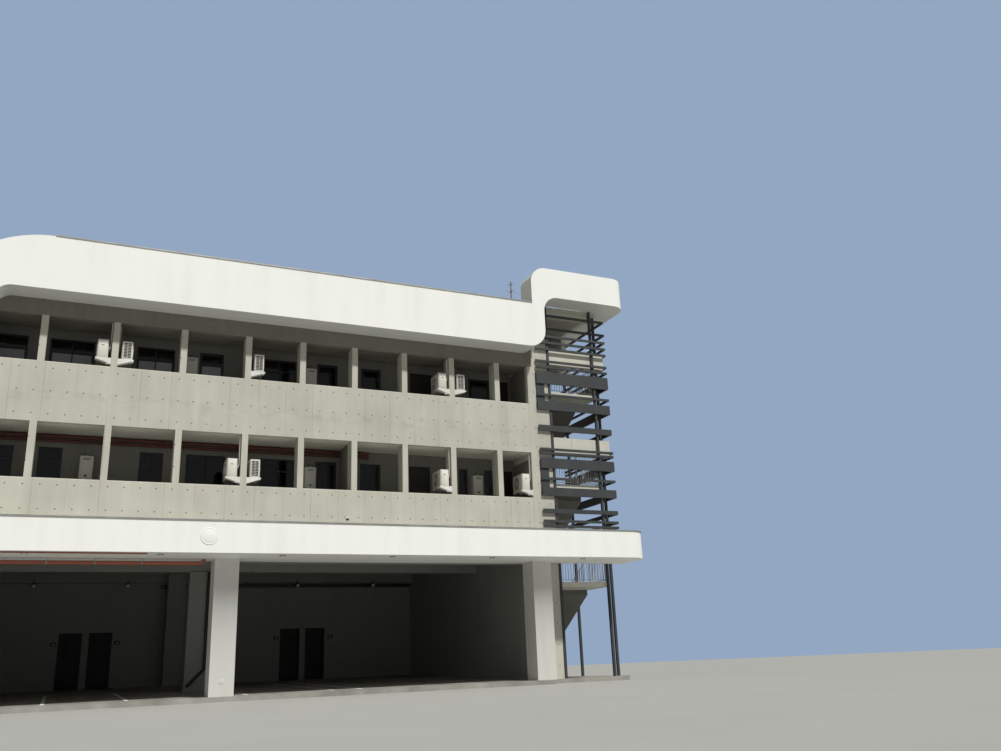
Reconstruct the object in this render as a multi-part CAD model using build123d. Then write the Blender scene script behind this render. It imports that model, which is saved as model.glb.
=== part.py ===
from build123d import *
import os
from math import hypot, sqrt

# Fire station: three storeys, open galleries in front, an open stair tower at the right end
# Millimetres. X runs along the front, Y into the building, Z up.
# Y = 0 is the front face of the concrete bands, Z = 0 the underside of the ground slab.

# Levels
GROUND_SLAB = 150
GROUND_STOREY = 5130
STOREY = 3600
SLAB = 200
FLOOR_1 = GROUND_SLAB
FLOOR_2 = FLOOR_1 + GROUND_STOREY
FLOOR_3 = FLOOR_2 + STOREY
ROOF = FLOOR_3 + STOREY

# Garage floor, which rises towards the back so that water drains out of the bays
GARAGE_RISE = 270
REAR_FLOOR = FLOOR_1 + GARAGE_RISE

# Plan of the main block
BLOCK_LEFT = -11850
BLOCK_RIGHT = 8100
BLOCK_DEPTH = 13900
WALL = 200

# Front bands, piers and galleries
BAND = 200
PARAPET = 1230
BAND_DROP = 670
BAND_CHAMFER = 30
PIER = 200
PIER_DEPTH = 500
WIDE_BAY = 2060
NARROW_BAY = 1830
WIDE_BAYS = 4
NARROW_BAYS = 5
FIRST_PIER = BLOCK_LEFT + 970
GALLERY_DEPTH = 1540
GALLERY_WALL = 150
CROSS_WALL = 150
CROSS_WALL_PIER = 6
SOFFIT_BOARD = 120
ROOF_BEAM_BOTTOM = ROOF - 890
ROOF_BEAM_DEPTH = 1110
ROOF_FASCIA = 150

# Ground floor columns and beams
COLUMN_WIDTH = 720
COLUMN_DEPTH = 800
COLUMN_FRONT = -670
MIDDLE_COLUMN = -3010
INNER_COLUMN_FRONT = 5400
FRONT_BEAM = 700
CROSS_BEAM = 600
CROSS_BEAM_DROP = 730
REAR_BEAM = 300
REAR_BEAM_DROP = 380
TRAY_WIDTH = 150
TRAY_HEIGHT = 160
TRAY_DROP = 40

# Canopy
CANOPY_LEFT = BLOCK_LEFT - 300
CANOPY_RIGHT = BLOCK_RIGHT + 3370
CANOPY_FRONT = -2000
CANOPY_BOTTOM = FLOOR_2 - 1150
CANOPY_FASCIA = 920
CANOPY_SLAB = 200
FASCIA_SKIN = 150
FASCIA_CORNER = 800
COPING = 40
COPING_LIP = 25

# White roof ribbon
RIBBON_FRONT = -900
RIBBON_BOTTOM = ROOF - 370
RIBBON_TOP = RIBBON_BOTTOM + 1760
LEG_INNER = BLOCK_LEFT + 1700
LEG_TOP_RADIUS = 3200
LEG_INNER_RADIUS = 500
SWEEP_RIGHT = BLOCK_RIGHT + 220
SWEEP_RADIUS = 700
SWEEP_INNER_RADIUS = 600
HOOD_LEFT = BLOCK_RIGHT - 290
HOOD_RIGHT = BLOCK_RIGHT + 4020
HOOD_TOP = RIBBON_TOP + 1530
HOOD_BOTTOM = HOOD_TOP - 1190
HOOD_LEFT_RADIUS = 650
HOOD_PLAN_RADIUS = 650
HOOD_RETURN_LEFT = BLOCK_RIGHT + 2810

# Stair tower
TOWER_LEFT = BLOCK_RIGHT + 170
TOWER_RIGHT = BLOCK_RIGHT + 3360
TOWER_POST = 90
WING_WALL_RIGHT = BLOCK_RIGHT + 700
WING_WALL_FRONT = 40
WING_WALL_BACK = 200
LEFT_POST = WING_WALL_RIGHT + TOWER_POST / 2
RIGHT_POST = BLOCK_RIGHT + 2750
SIDE_POSTS = (600, 3250)
RETURN = 3800
FLIGHT_WIDTH = 1250
FLIGHT_LEFT = BLOCK_RIGHT + 50
WELL = 100
LANDING_RIGHT = RIGHT_POST + TOWER_POST / 2
LANDING_DEPTH = 1350
RISERS = 10
LAST_FLIGHT_RISERS = 9
TREAD = 280
WAIST = 150
LANDING = 180
STEP_JOINT = 2
TOWER_BEAM = 200
TOWER_BEAM_DROP = 670
HEAD_BEAM = 210
HEAD_FRONT = 2500
HEAD_TOP = HOOD_TOP - 200
STAIR_DOOR = 1000
STAIR_DOOR_HEAD = 2200

# Guards of the stair
BALUSTRADE = 1100
FLIGHT_GUARD = 900
BAR = 20
BAR_BASE = 60
GUARD_POST_PITCH = 900
GUARD_STEPS = 3
GUARD_INSET = 30

# Louvres of the tower: height of each lower edge above the second floor, and height of each wide louvre
LOUVRE_THICK = 60
LOUVRE_GAP = 5
THIN_LOUVRE = 90
THIN_LOUVRES = (150, 340, 1920, 2890, 3040, 5180, 6300, 6540, 7050, 7320, 7590, 7910, 8460)
WIDE_LOUVRES = ((680, 150), (1320, 310), (2360, 380), (3800, 220), (4630, 360), (5670, 480))
LOWER_END_PANEL = 1
UPPER_END_PANEL = 4
END_PANEL_WIDTH = 340
END_PANEL_THICK = 40

# Doors at the back of the garage: left edge of each opening, then the sizes they share
REAR_DOORS = (-7420, -6260, 1700, 2850)
REAR_DOOR_WIDTH = 800
REAR_DOOR_HEIGHT = 2200
DOOR_FRAME = 50
LEAF = 50
LEAF_GAP = 8
DOOR_STOP = 25
DOOR_STOP_GAP = 6
HINGE_RADIUS = 10
HINGE_HEIGHT = 60
HINGE_SETBACK = 12
HINGE_PLATE = 40
HINGE_SPACE = 0.3
HINGE_MARGIN = 260
HANDLE_HEIGHT = 1050
HANDLE_MARGIN = 70
HANDLE_REACH = 45
LEVER_LENGTH = 120
LEVER = 18

# Gallery openings: left edge and width on each storey
GALLERY_WINDOWS_2 = ((-10900, 1660), (-8550, 1330), (-5940, 1210), (-1750, 1240), (150, 760), (1770, 760),
                     (5600, 350), (6640, 340))
GALLERY_DOORS_2 = ((-4160, 1250), (3620, 820), (7000, 820))
GALLERY_WINDOWS_3 = ((-10900, 1710), (-8560, 1330), (-5940, 1210), (-3920, 800), (-1820, 1240), (150, 760),
                     (1790, 760), (6100, 880))
GALLERY_DOORS_3 = ((3700, 890), (7200, 600))
WINDOW_SILL = 900
OPENING_HEAD = 2500
WINDOW_FRAME = 50
WINDOW_SETBACK = 20
DOOR_SETBACK = 30
FRAME_DEPTH = 80
GLASS = 12
PANE_GAP = 0.3

# Windows of the back and the left side
REAR_WINDOWS = 8
SIDE_WINDOWS = 4
PLAIN_WINDOW = 1330

# Air conditioners: numbers of the piers that carry them, then the sizes they share
LEFT_UNIT_PIER = 2
MIDDLE_UNIT_PIER = 4
RIGHT_UNIT_PIER = 8
UNIT_WIDTH = 320
UNIT_DEPTH = 800
UNIT_HEIGHT = 600
UNIT_FRONT = 20
UNIT_GAP = 100
UNIT_LIFT = 280
UNIT_CORNER = 25
ARM = 40
ARM_ROOT = 200

# Water heaters on the gallery walls: left edge on each storey
HEATERS_2 = (-7360, -260, 6090)
HEATERS_3 = (-4400, -300)
HEATER_WIDTH = 400
HEATER_DEPTH = 220
HEATER_HEIGHT = 730
HEATER_LIFT = 1500
HEATER_CORNER = 20

# Sprinkler pipes: under the canopy, and in the gallery of storey 2
MAIN_PIPE = 57
MAIN_PIPE_Y = -420
MAIN_PIPE_DROP = 130
MAIN_PIPE_END = 290
DRAIN_PIPE = 21
DRAIN_PIPE_Y = -1800
DRAIN_PIPE_END = 2010
GALLERY_PIPES = ((57, 90), (45, 230))
GALLERY_PIPE_PAST = 900
GALLERY_PIPE_GAP = 15
PIPE_START = 150
CLIP_PITCH = 1270
CLIP_WIDTH = 40
CLIP_SKIN = 8
ROD = 12

# Downpipe on the inner column: a vertical run, a 45 degree bend and a slanting run to the floor
DOWNPIPE = 50
DOWNPIPE_OFFSET = 70
DOWNPIPE_STAND = 12
DOWNPIPE_BEND_HEIGHT = 560
DOWNPIPE_BEND_RADIUS = 120

# Lamps
DOWNLIGHTS = 6
FIRST_DOWNLIGHT = -8500
DOWNLIGHT_PITCH = 3490
DOWNLIGHT_Y = -1500
DOWNLIGHT_RADIUS = 100
DOWNLIGHT_SIDES = 16
DOWNLIGHT_DEPTH = 15
GARAGE_LAMPS = (-8580, -4980, 2300, 5900)
LAMP_RADIUS = 85
LAMP_LENGTH = 150
LAMP_DROP = 110
LAMP_TILT = 25
WALL_LAMPS = (-7760, -5320, 1350, 3840)
WALL_LAMP_HEIGHT = 1750
WALL_LAMP = (220, 100, 150)
EXIT_LAMP_LEFT = -3620
EXIT_LAMP_DROP = 620

# Mast on the roof
MAST_X = 7630
MAST_Y = 500
MAST_TOP = HOOD_TOP - 120
MAST_RADIUS = 25
MAST_FOOT = 150
MAST_FOOT_THICK = 12


def block(x, y, z):
    """A box between the low and high value on each axis."""
    size = [high - low for low, high in (x, y, z)]
    middle = [(high + low) / 2 for low, high in (x, y, z)]
    return Pos(*middle) * Box(*size)


def prism(points, x):
    """A solid with the given (y, z) outline between two x values."""
    face = Plane.YZ * make_face(Polyline(*points, close=True))
    return Pos(x[0], 0, 0) * extrude(face, amount=x[1] - x[0], dir=(1, 0, 0))


def ordered(a, b):
    return (a, b) if a < b else (b, a)


def save(name, solids):
    """Writes one node, made of one solid or of several that stay apart."""
    shape = solids[0] if len(solids) == 1 else Compound(children=solids)
    export_step(shape, f"parts/{name}.step")


def inside():
    """Span along X between the side walls."""
    return BLOCK_LEFT + WALL, BLOCK_RIGHT - WALL


def pier_lefts():
    """Left edges of the front piers, with wide bays first and narrow bays after them."""
    places = [FIRST_PIER]
    for bay in [WIDE_BAY] * WIDE_BAYS + [NARROW_BAY] * NARROW_BAYS:
        places.append(places[-1] + bay)
    return places


def floor_slab(top):
    return block((BLOCK_LEFT, BLOCK_RIGHT), (BAND, BLOCK_DEPTH), (top - SLAB, top))


def flight_front():
    """Depth of the front landings' back edge, where the flights start."""
    return TOWER_POST + LANDING_DEPTH


def flight_back():
    """Depth of the rear landings' front edge."""
    return flight_front() + (RISERS - 1) * TREAD


def tower_back():
    return flight_back() + LANDING_DEPTH


def ground_slab():
    main = block((BLOCK_LEFT, BLOCK_RIGHT), (COLUMN_FRONT, BLOCK_DEPTH), (0, FLOOR_1))
    tower = block((BLOCK_RIGHT, TOWER_RIGHT), (0, tower_back() + WALL), (0, FLOOR_1))
    return main + tower


def garage_floor():
    """Screed laid to a fall, from nothing behind the front columns to its full rise at the back wall."""
    rear = BLOCK_DEPTH - WALL
    front = COLUMN_FRONT + COLUMN_DEPTH
    screed = prism([(front, FLOOR_1), (rear, FLOOR_1), (rear, REAR_FLOOR)], inside())
    for column in inner_columns():
        screed -= column
    return screed


def front_columns():
    y = (COLUMN_FRONT, COLUMN_FRONT + COLUMN_DEPTH)
    lefts = (BLOCK_LEFT, MIDDLE_COLUMN - COLUMN_WIDTH / 2, BLOCK_RIGHT - COLUMN_WIDTH)
    return [block((x, x + COLUMN_WIDTH), y, (FLOOR_1, CANOPY_BOTTOM)) for x in lefts]


def inner_columns():
    x = (MIDDLE_COLUMN - COLUMN_WIDTH / 2, MIDDLE_COLUMN + COLUMN_WIDTH / 2)
    rear = BLOCK_DEPTH - WALL
    low = FLOOR_2 - SLAB - CROSS_BEAM_DROP
    free = block(x, (INNER_COLUMN_FRONT, INNER_COLUMN_FRONT + COLUMN_DEPTH), (FLOOR_1, low))
    pilaster = block(x, (rear - COLUMN_DEPTH, rear), (FLOOR_1, FLOOR_2 - SLAB))
    return [free, pilaster]


def garage_beams():
    """The beam over the bays, the beam on the inner column, and one at the back on each side of the pilaster."""
    top = FLOOR_2 - SLAB
    middle = INNER_COLUMN_FRONT + COLUMN_DEPTH / 2
    front = block((BLOCK_LEFT, BLOCK_RIGHT), (BAND, FRONT_BEAM), (CANOPY_BOTTOM, top))
    cross = block(inside(), (middle - CROSS_BEAM / 2, middle + CROSS_BEAM / 2), (top - CROSS_BEAM_DROP, top))
    return [front, cross] + [block(x, rear_beam_y(), (top - REAR_BEAM_DROP, top)) for x in beside_pilaster()]


def rear_beam_y():
    return BLOCK_DEPTH - WALL - REAR_BEAM, BLOCK_DEPTH - WALL


def beside_pilaster():
    left, right = inside()
    return (left, MIDDLE_COLUMN - COLUMN_WIDTH / 2), (MIDDLE_COLUMN + COLUMN_WIDTH / 2, right)


def cable_tray():
    """Dark tray along the back wall of the right bay, under the beam."""
    rear = BLOCK_DEPTH - WALL
    high = FLOOR_2 - SLAB - REAR_BEAM_DROP - TRAY_DROP
    return block(beside_pilaster()[1], (rear - TRAY_WIDTH, rear), (high - TRAY_HEIGHT, high))


def rear_sill():
    """Kerb that carries the back wall at the high end of the garage floor."""
    return block((BLOCK_LEFT, BLOCK_RIGHT), (BLOCK_DEPTH - WALL, BLOCK_DEPTH), (FLOOR_1, REAR_FLOOR))


def rear_ground_wall():
    """The wall between the garage doors, one solid between each two doorways."""
    y = (BLOCK_DEPTH - WALL, BLOCK_DEPTH)
    edges = [BLOCK_LEFT]
    for left in REAR_DOORS:
        edges += [left - DOOR_FRAME, left + REAR_DOOR_WIDTH + DOOR_FRAME]
    edges.append(BLOCK_RIGHT)
    head = REAR_FLOOR + REAR_DOOR_HEIGHT + DOOR_FRAME
    return [block((low, high), y, (REAR_FLOOR, head)) for low, high in zip(edges[::2], edges[1::2])]


def rear_lintel():
    head = REAR_FLOOR + REAR_DOOR_HEIGHT + DOOR_FRAME
    return block((BLOCK_LEFT, BLOCK_RIGHT), (BLOCK_DEPTH - WALL, BLOCK_DEPTH), (head, FLOOR_2 - SLAB))


def hinge_heights():
    """Height of the joint between the knuckles of each hinge."""
    return [REAR_FLOOR + HINGE_MARGIN, REAR_FLOOR + REAR_DOOR_HEIGHT - HINGE_MARGIN]


def knuckle(x, z):
    centre = BLOCK_DEPTH + HINGE_SETBACK
    return Pos(x, centre, z + HINGE_HEIGHT / 2) * Cylinder(HINGE_RADIUS, HINGE_HEIGHT)


def hinge_leaf(x, edge, z):
    """One half of a hinge: a plate on the face of the door or the frame, and its knuckle."""
    plate = block(ordered(x, edge), (BLOCK_DEPTH, BLOCK_DEPTH + HINGE_SETBACK), (z, z + HINGE_HEIGHT))
    return plate + knuckle(x, z)


def rear_door_frame(left):
    """Steel frame of one doorway, rebated for the leaf, with the lower hinge halves on its left side."""
    right = left + REAR_DOOR_WIDTH
    y = (BLOCK_DEPTH - WALL, BLOCK_DEPTH)
    head = REAR_FLOOR + REAR_DOOR_HEIGHT
    rebate = BLOCK_DEPTH - LEAF - DOOR_STOP_GAP
    frame = block((left - DOOR_FRAME, right + DOOR_FRAME), y, (REAR_FLOOR, head + DOOR_FRAME))
    frame -= block((left, right), (rebate, BLOCK_DEPTH), (REAR_FLOOR, head))
    frame -= block((left + DOOR_STOP, right - DOOR_STOP), y, (REAR_FLOOR, head - DOOR_STOP))
    for z in hinge_heights():
        frame += hinge_leaf(left, left - HINGE_PLATE, z - HINGE_HEIGHT - HINGE_SPACE)
    return frame


def lever_handle(x, side):
    """Square stem and lever on one face of a leaf; side is 1 outside and -1 inside."""
    face = BLOCK_DEPTH if side > 0 else BLOCK_DEPTH - LEAF
    z = (REAR_FLOOR + HANDLE_HEIGHT, REAR_FLOOR + HANDLE_HEIGHT + LEVER)
    tip = face + side * HANDLE_REACH
    stem = block((x - LEVER, x), ordered(face, tip), z)
    lever = block((x - LEVER_LENGTH, x), ordered(tip - side * LEVER, tip), z)
    return stem + lever


def rear_door(left):
    """One leaf hung on the outer face of the wall, with its upper hinge halves and lever handles."""
    x = (left + LEAF_GAP, left + REAR_DOOR_WIDTH - LEAF_GAP)
    y = (BLOCK_DEPTH - LEAF, BLOCK_DEPTH)
    leaf = block(x, y, (REAR_FLOOR + LEAF_GAP, REAR_FLOOR + REAR_DOOR_HEIGHT - LEAF_GAP))
    for z in hinge_heights():
        leaf += hinge_leaf(left, left + HINGE_PLATE, z)
    for side in (-1, 1):
        leaf += lever_handle(x[1] - HANDLE_MARGIN, side)
    return leaf


def open_bays():
    """Spans along X between the end posts and the piers, where a band's top edge is free."""
    edges = [BLOCK_LEFT + WALL]
    for x in pier_lefts():
        edges += [x, x + PIER]
    edges.append(BLOCK_RIGHT - WALL)
    return list(zip(edges[::2], edges[1::2]))


def band(floor, bottom):
    """One concrete band with its top front edge chamfered between the piers."""
    top = floor + PARAPET
    wall = block((BLOCK_LEFT, BLOCK_RIGHT), (0, BAND), (bottom, top))
    for bay in open_bays():
        wall -= prism([(0, top - BAND_CHAMFER), (0, top), (BAND_CHAMFER, top)], bay)
    return wall


def pier(x, floor, top):
    """A pier that stands on the band and runs down behind it to the gallery floor."""
    band_top = floor + PARAPET
    above = block((x, x + PIER), (0, PIER_DEPTH), (band_top, top))
    behind = block((x, x + PIER), (BAND, PIER_DEPTH), (floor, band_top))
    return above + behind


def storey_piers(floor, top):
    """The piers of one storey and the post at each end of its band."""
    posts = [block((x, x + WALL), (0, BAND), (floor + PARAPET, top)) for x in (BLOCK_LEFT, BLOCK_RIGHT - WALL)]
    return [pier(x, floor, top) for x in pier_lefts()] + posts


def gallery_soffits():
    low = FLOOR_3 - BAND_DROP
    second = block(inside(), (BAND, GALLERY_DEPTH), (low, low + SOFFIT_BOARD))
    third = block(inside(), (ROOF_FASCIA, ROOF_BEAM_DEPTH), (ROOF_BEAM_BOTTOM, ROOF_BEAM_BOTTOM + SOFFIT_BOARD))
    return [second, third]


def roof_fascia():
    return block((BLOCK_LEFT, BLOCK_RIGHT), (0, ROOF_FASCIA), (ROOF_BEAM_BOTTOM, ROOF - SLAB))


def gallery_wall(floor, windows, doors):
    y = (GALLERY_DEPTH, GALLERY_DEPTH + GALLERY_WALL)
    wall = block(inside(), y, (floor, floor + STOREY - SLAB))
    for left, width in windows:
        wall -= block((left, left + width), y, (floor + WINDOW_SILL, floor + OPENING_HEAD))
    for left, width in doors:
        wall -= block((left, left + width), y, (floor, floor + OPENING_HEAD))
    return wall


def gallery_cross_wall():
    """The wall across the gallery of storey 2, behind one of the piers."""
    x = pier_lefts()[CROSS_WALL_PIER]
    return block((x, x + CROSS_WALL), (PIER_DEPTH, GALLERY_DEPTH), (FLOOR_2, FLOOR_3 - BAND_DROP))


def inset(span, amount):
    return span[0] + amount, span[1] - amount


def window(x, y, z):
    """Frame and pane of an opening; the wall runs along the longer of x and y."""
    along_x = x[1] - x[0] > y[1] - y[0]
    hole_x, hole_y = (inset(x, WINDOW_FRAME), y) if along_x else (x, inset(y, WINDOW_FRAME))
    frame = block(x, y, z) - block(hole_x, hole_y, inset(z, WINDOW_FRAME))
    edge = WINDOW_FRAME + PANE_GAP
    thin = (FRAME_DEPTH - GLASS) / 2
    pane_x, pane_y = (inset(x, edge), inset(y, thin)) if along_x else (inset(x, thin), inset(y, edge))
    return frame, block(pane_x, pane_y, inset(z, edge))


def gallery_window_places(floor, windows):
    front = GALLERY_DEPTH + WINDOW_SETBACK
    z = (floor + WINDOW_SILL, floor + OPENING_HEAD)
    return [((left, left + width), (front, front + FRAME_DEPTH), z) for left, width in windows]


def gallery_doors(floor, doors):
    front = GALLERY_DEPTH + DOOR_SETBACK
    z = (floor, floor + OPENING_HEAD)
    return [block((left, left + width), (front, front + LEAF), z) for left, width in doors]


def spaced(low, high, count, width):
    """Spans of equal width, one in the middle of each of several equal fields."""
    pitch = (high - low) / count
    starts = [low + pitch * (number + 0.5) - width / 2 for number in range(count)]
    return [(start, start + width) for start in starts]


def mid_wall(face):
    """Span of a window frame in the middle of a wall whose low face is given."""
    return inset((face, face + WALL), (WALL - FRAME_DEPTH) / 2)


def rear_window_places(floor):
    z = (floor + WINDOW_SILL, floor + OPENING_HEAD)
    return [(x, mid_wall(BLOCK_DEPTH - WALL), z) for x in spaced(BLOCK_LEFT, BLOCK_RIGHT, REAR_WINDOWS, PLAIN_WINDOW)]


def side_window_places(floor):
    z = (floor + WINDOW_SILL, floor + OPENING_HEAD)
    low = GALLERY_DEPTH + GALLERY_WALL
    return [(mid_wall(BLOCK_LEFT), y, z) for y in spaced(low, BLOCK_DEPTH - WALL, SIDE_WINDOWS, PLAIN_WINDOW)]


def rear_upper_wall(floor):
    """Back wall of one storey with its windows cut through."""
    y = (BLOCK_DEPTH - WALL, BLOCK_DEPTH)
    wall = block((BLOCK_LEFT, BLOCK_RIGHT), y, (floor, floor + STOREY - SLAB))
    for x, _, z in rear_window_places(floor):
        wall -= block(x, y, z)
    return wall


def storey_side_walls(floor):
    """Left wall with windows and right wall with the doorway from the stair."""
    z = (floor, floor + STOREY - SLAB)
    y = (BAND, BLOCK_DEPTH - WALL)
    left_x = (BLOCK_LEFT, BLOCK_LEFT + WALL)
    right_x = (BLOCK_RIGHT - WALL, BLOCK_RIGHT)
    left = block(left_x, y, z)
    for _, hole_y, hole_z in side_window_places(floor):
        left -= block(left_x, hole_y, hole_z)
    right = block(right_x, y, z) - block(right_x, stair_door_y(), (floor, floor + STAIR_DOOR_HEAD))
    return [left, right]


def ground_side_walls():
    """Side walls of the garage, which pass under the front beam."""
    rear = BLOCK_DEPTH - WALL
    walls = []
    for x in ((BLOCK_LEFT, BLOCK_LEFT + WALL), (BLOCK_RIGHT - WALL, BLOCK_RIGHT)):
        low = block(x, (COLUMN_FRONT + COLUMN_DEPTH, rear), (FLOOR_1, CANOPY_BOTTOM))
        high = block(x, (FRONT_BEAM, rear), (CANOPY_BOTTOM, FLOOR_2 - SLAB))
        walls.append(low + high)
    return walls


def ribbon_outline():
    """Front outline of the white ribbon: a leg, a long run and an S-shaped rise to the hood over the stair."""
    base = CANOPY_BOTTOM + CANOPY_FASCIA
    points = [(BLOCK_LEFT, base), (BLOCK_LEFT, RIBBON_TOP), (HOOD_LEFT, RIBBON_TOP), (HOOD_LEFT, HOOD_TOP),
              (HOOD_RIGHT, HOOD_TOP), (HOOD_RIGHT, HOOD_BOTTOM), (SWEEP_RIGHT, HOOD_BOTTOM),
              (SWEEP_RIGHT, RIBBON_BOTTOM), (LEG_INNER, RIBBON_BOTTOM), (LEG_INNER, base)]
    radii = {1: LEG_TOP_RADIUS, 3: HOOD_LEFT_RADIUS, 6: SWEEP_INNER_RADIUS, 7: SWEEP_RADIUS, 8: LEG_INNER_RADIUS}
    outline = make_face(Polyline(*points, close=True))
    for place, radius in radii.items():
        x, z = points[place]
        corner = outline.vertices().sort_by_distance((x, z, 0))[0]
        outline = fillet(corner, radius)
    return outline


def roof_ribbon():
    outline = Plane.XZ * ribbon_outline()
    solid = extrude(outline, amount=-RIBBON_FRONT, dir=(0, -1, 0))
    corner = solid.edges().filter_by(Axis.Z).sort_by_distance((HOOD_RIGHT, RIBBON_FRONT, HOOD_TOP))[0]
    return fillet(corner, HOOD_PLAN_RADIUS)


def hood_return():
    """The hood's right side, running back over the stair."""
    return block((HOOD_RETURN_LEFT, HOOD_RIGHT), (0, tower_back() + WALL), (HOOD_BOTTOM, HOOD_TOP))


def parapet_spans():
    """Plan of the low walls round the roof: left, right behind the stair, and back."""
    rear = BLOCK_DEPTH - WALL
    return [((BLOCK_LEFT, BLOCK_LEFT + WALL), (0, rear)),
            ((BLOCK_RIGHT - WALL, BLOCK_RIGHT), (tower_back() + WALL, rear)),
            ((BLOCK_LEFT, BLOCK_RIGHT), (rear, BLOCK_DEPTH))]


def parapets():
    return [block(x, y, (ROOF, ROOF + PARAPET)) for x, y in parapet_spans()]


def parapet_coping():
    """Sheet metal that caps the parapets, joined at the back corners."""
    z = (ROOF + PARAPET, ROOF + PARAPET + COPING)
    left, right, rear = parapet_spans()
    cap = block((left[0][0], left[0][1] + COPING_LIP), left[1], z)
    cap += block((right[0][0] - COPING_LIP, right[0][1]), right[1], z)
    return cap + block(rear[0], (rear[1][0] - COPING_LIP, rear[1][1]), z)


def rounded_plan(left, right, front, back, radius):
    """Plan with its two front corners rounded."""
    face = make_face(Polyline((left, front), (right, front), (right, back), (left, back), close=True))
    return fillet([face.vertices().sort_by_distance((x, front, 0))[0] for x in (left, right)], radius)


def canopy_plan(edge):
    """Plan of the canopy, its outline moved outwards by the given amount."""
    return rounded_plan(CANOPY_LEFT - edge, CANOPY_RIGHT + edge, CANOPY_FRONT - edge, 0, FASCIA_CORNER + edge)


def canopy_fascia():
    ring = canopy_plan(0) - canopy_plan(-FASCIA_SKIN)
    return Pos(0, 0, CANOPY_BOTTOM) * extrude(ring, amount=CANOPY_FASCIA)


def canopy_coping():
    """Thin capping on the fascia, cut where the ribbon's leg stands on the canopy."""
    top = CANOPY_BOTTOM + CANOPY_FASCIA
    ring = Pos(0, 0, top) * extrude(canopy_plan(COPING_LIP) - canopy_plan(-FASCIA_SKIN), amount=COPING)
    return ring - block((BLOCK_LEFT, LEG_INNER), (RIBBON_FRONT, 0), (top, top + COPING))


def canopy_slab():
    plate = Pos(0, 0, CANOPY_BOTTOM) * extrude(canopy_plan(-FASCIA_SKIN), amount=CANOPY_SLAB)
    return plate + block((BLOCK_LEFT, BLOCK_RIGHT), (0, BAND), (CANOPY_BOTTOM, CANOPY_BOTTOM + CANOPY_SLAB))


def ribbon_coping():
    """Thin metal strip on top of the ribbon's long run."""
    x = (BLOCK_LEFT + LEG_TOP_RADIUS, HOOD_LEFT)
    return block(x, (RIBBON_FRONT - COPING_LIP, 0), (RIBBON_TOP, RIBBON_TOP + COPING))


def ribbon_edge(z):
    """Right edge of the ribbon at a height below the hood, with its outer and inner rounded corners."""
    drop = max(0, RIBBON_BOTTOM + SWEEP_RADIUS - z)
    if drop >= SWEEP_RADIUS:
        return SWEEP_RIGHT - SWEEP_RADIUS
    climb = max(0, z - HOOD_BOTTOM + SWEEP_INNER_RADIUS)
    outer = SWEEP_RADIUS - sqrt(SWEEP_RADIUS ** 2 - drop ** 2)
    return SWEEP_RIGHT - outer + SWEEP_INNER_RADIUS - sqrt(SWEEP_INNER_RADIUS ** 2 - climb ** 2)


def louvre(rise, height):
    """A dark band along the front of the tower with a return along its right side."""
    bottom = FLOOR_2 + rise
    z = (bottom, bottom + height)
    left = max(TOWER_LEFT, ribbon_edge(z[1]) + LOUVRE_GAP)
    front = block((left, TOWER_RIGHT), (-LOUVRE_THICK, 0), z)
    side = block((TOWER_RIGHT - LOUVRE_THICK, TOWER_RIGHT), (0, RETURN), z)
    return front + side


def louvre_end_panels():
    """Upright panels behind the left ends of two pairs of wide louvres, named by the lower one of each pair."""
    x = (TOWER_LEFT, TOWER_LEFT + END_PANEL_WIDTH)
    spans = [(WIDE_LOUVRES[lower][0], sum(WIDE_LOUVRES[lower + 1])) for lower in (LOWER_END_PANEL, UPPER_END_PANEL)]
    return [block(x, (0, END_PANEL_THICK), (FLOOR_2 + low, FLOOR_2 + high)) for low, high in spans]


def tower_posts():
    """Two posts behind the front louvres and two behind the side ones."""
    half = TOWER_POST / 2
    z = (FLOOR_1, HOOD_BOTTOM)
    right = TOWER_RIGHT - LOUVRE_THICK
    front = [block((x - half, x + half), (0, TOWER_POST), z) for x in (LEFT_POST, RIGHT_POST)]
    return front + [block((right - TOWER_POST, right), (y - half, y + half), z) for y in SIDE_POSTS]


def wing_wall():
    """Wall that carries the line of the bands on behind the left ends of the louvres."""
    y = (WING_WALL_FRONT, WING_WALL_BACK)
    return block((BLOCK_RIGHT, WING_WALL_RIGHT), y, (FLOOR_1, HOOD_BOTTOM - SLAB))


def flights():
    """Bottom level, top level, risers and side of each flight, from the roof down to the ground.
    Flights on the left rise to the back, and those on the right rise to the front."""
    rise = STOREY / 2
    found = []
    top, side = ROOF, "left"
    while top - rise > FLOOR_1:
        found.append((top - rise, top, RISERS, side))
        top -= rise
        side = "left" if side == "right" else "right"
    found.append((FLOOR_1, top, LAST_FLIGHT_RISERS, side))
    return found


def flight_x(side):
    left = FLIGHT_LEFT if side == "left" else FLIGHT_LEFT + FLIGHT_WIDTH + WELL
    return left, left + FLIGHT_WIDTH


def flight_line(low, high, risers, side):
    """Foot of a flight along Y, its direction along Y and its riser height."""
    riser = (high - low) / risers
    run = (risers - 1) * TREAD
    foot = flight_back() - run if side == "left" else flight_front() + run
    return foot, 1 if side == "left" else -1, riser


def stair_waist(low, high, risers, side):
    """Sloping slab under the steps, cut level where it stands on the ground."""
    foot, way, riser = flight_line(low, high, risers, side)
    head = foot + way * (risers - 1) * TREAD
    top = high - riser
    drop = WAIST * hypot(TREAD, riser) / TREAD
    points = [(foot, low), (head, top), (head, top - drop)]
    if low > FLOOR_1:
        points.append((foot, low - drop))
    else:
        points.append((foot + way * drop * TREAD / riser, low))
    return prism(points, flight_x(side))


def flight_steps(low, high, risers, side):
    """Wedge-shaped steps that lie on the waist, each apart from the next."""
    foot, way, riser = flight_line(low, high, risers, side)
    steps = []
    for number in range(risers - 1):
        back = foot + way * (number * TREAD + STEP_JOINT)
        nose = foot + way * (number + 1) * TREAD
        tread = low + (number + 1) * riser
        root = low + number * riser + STEP_JOINT * riser / TREAD
        steps.append(prism([(back, root), (back, tread), (nose, tread)], flight_x(side)))
    return steps


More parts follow.
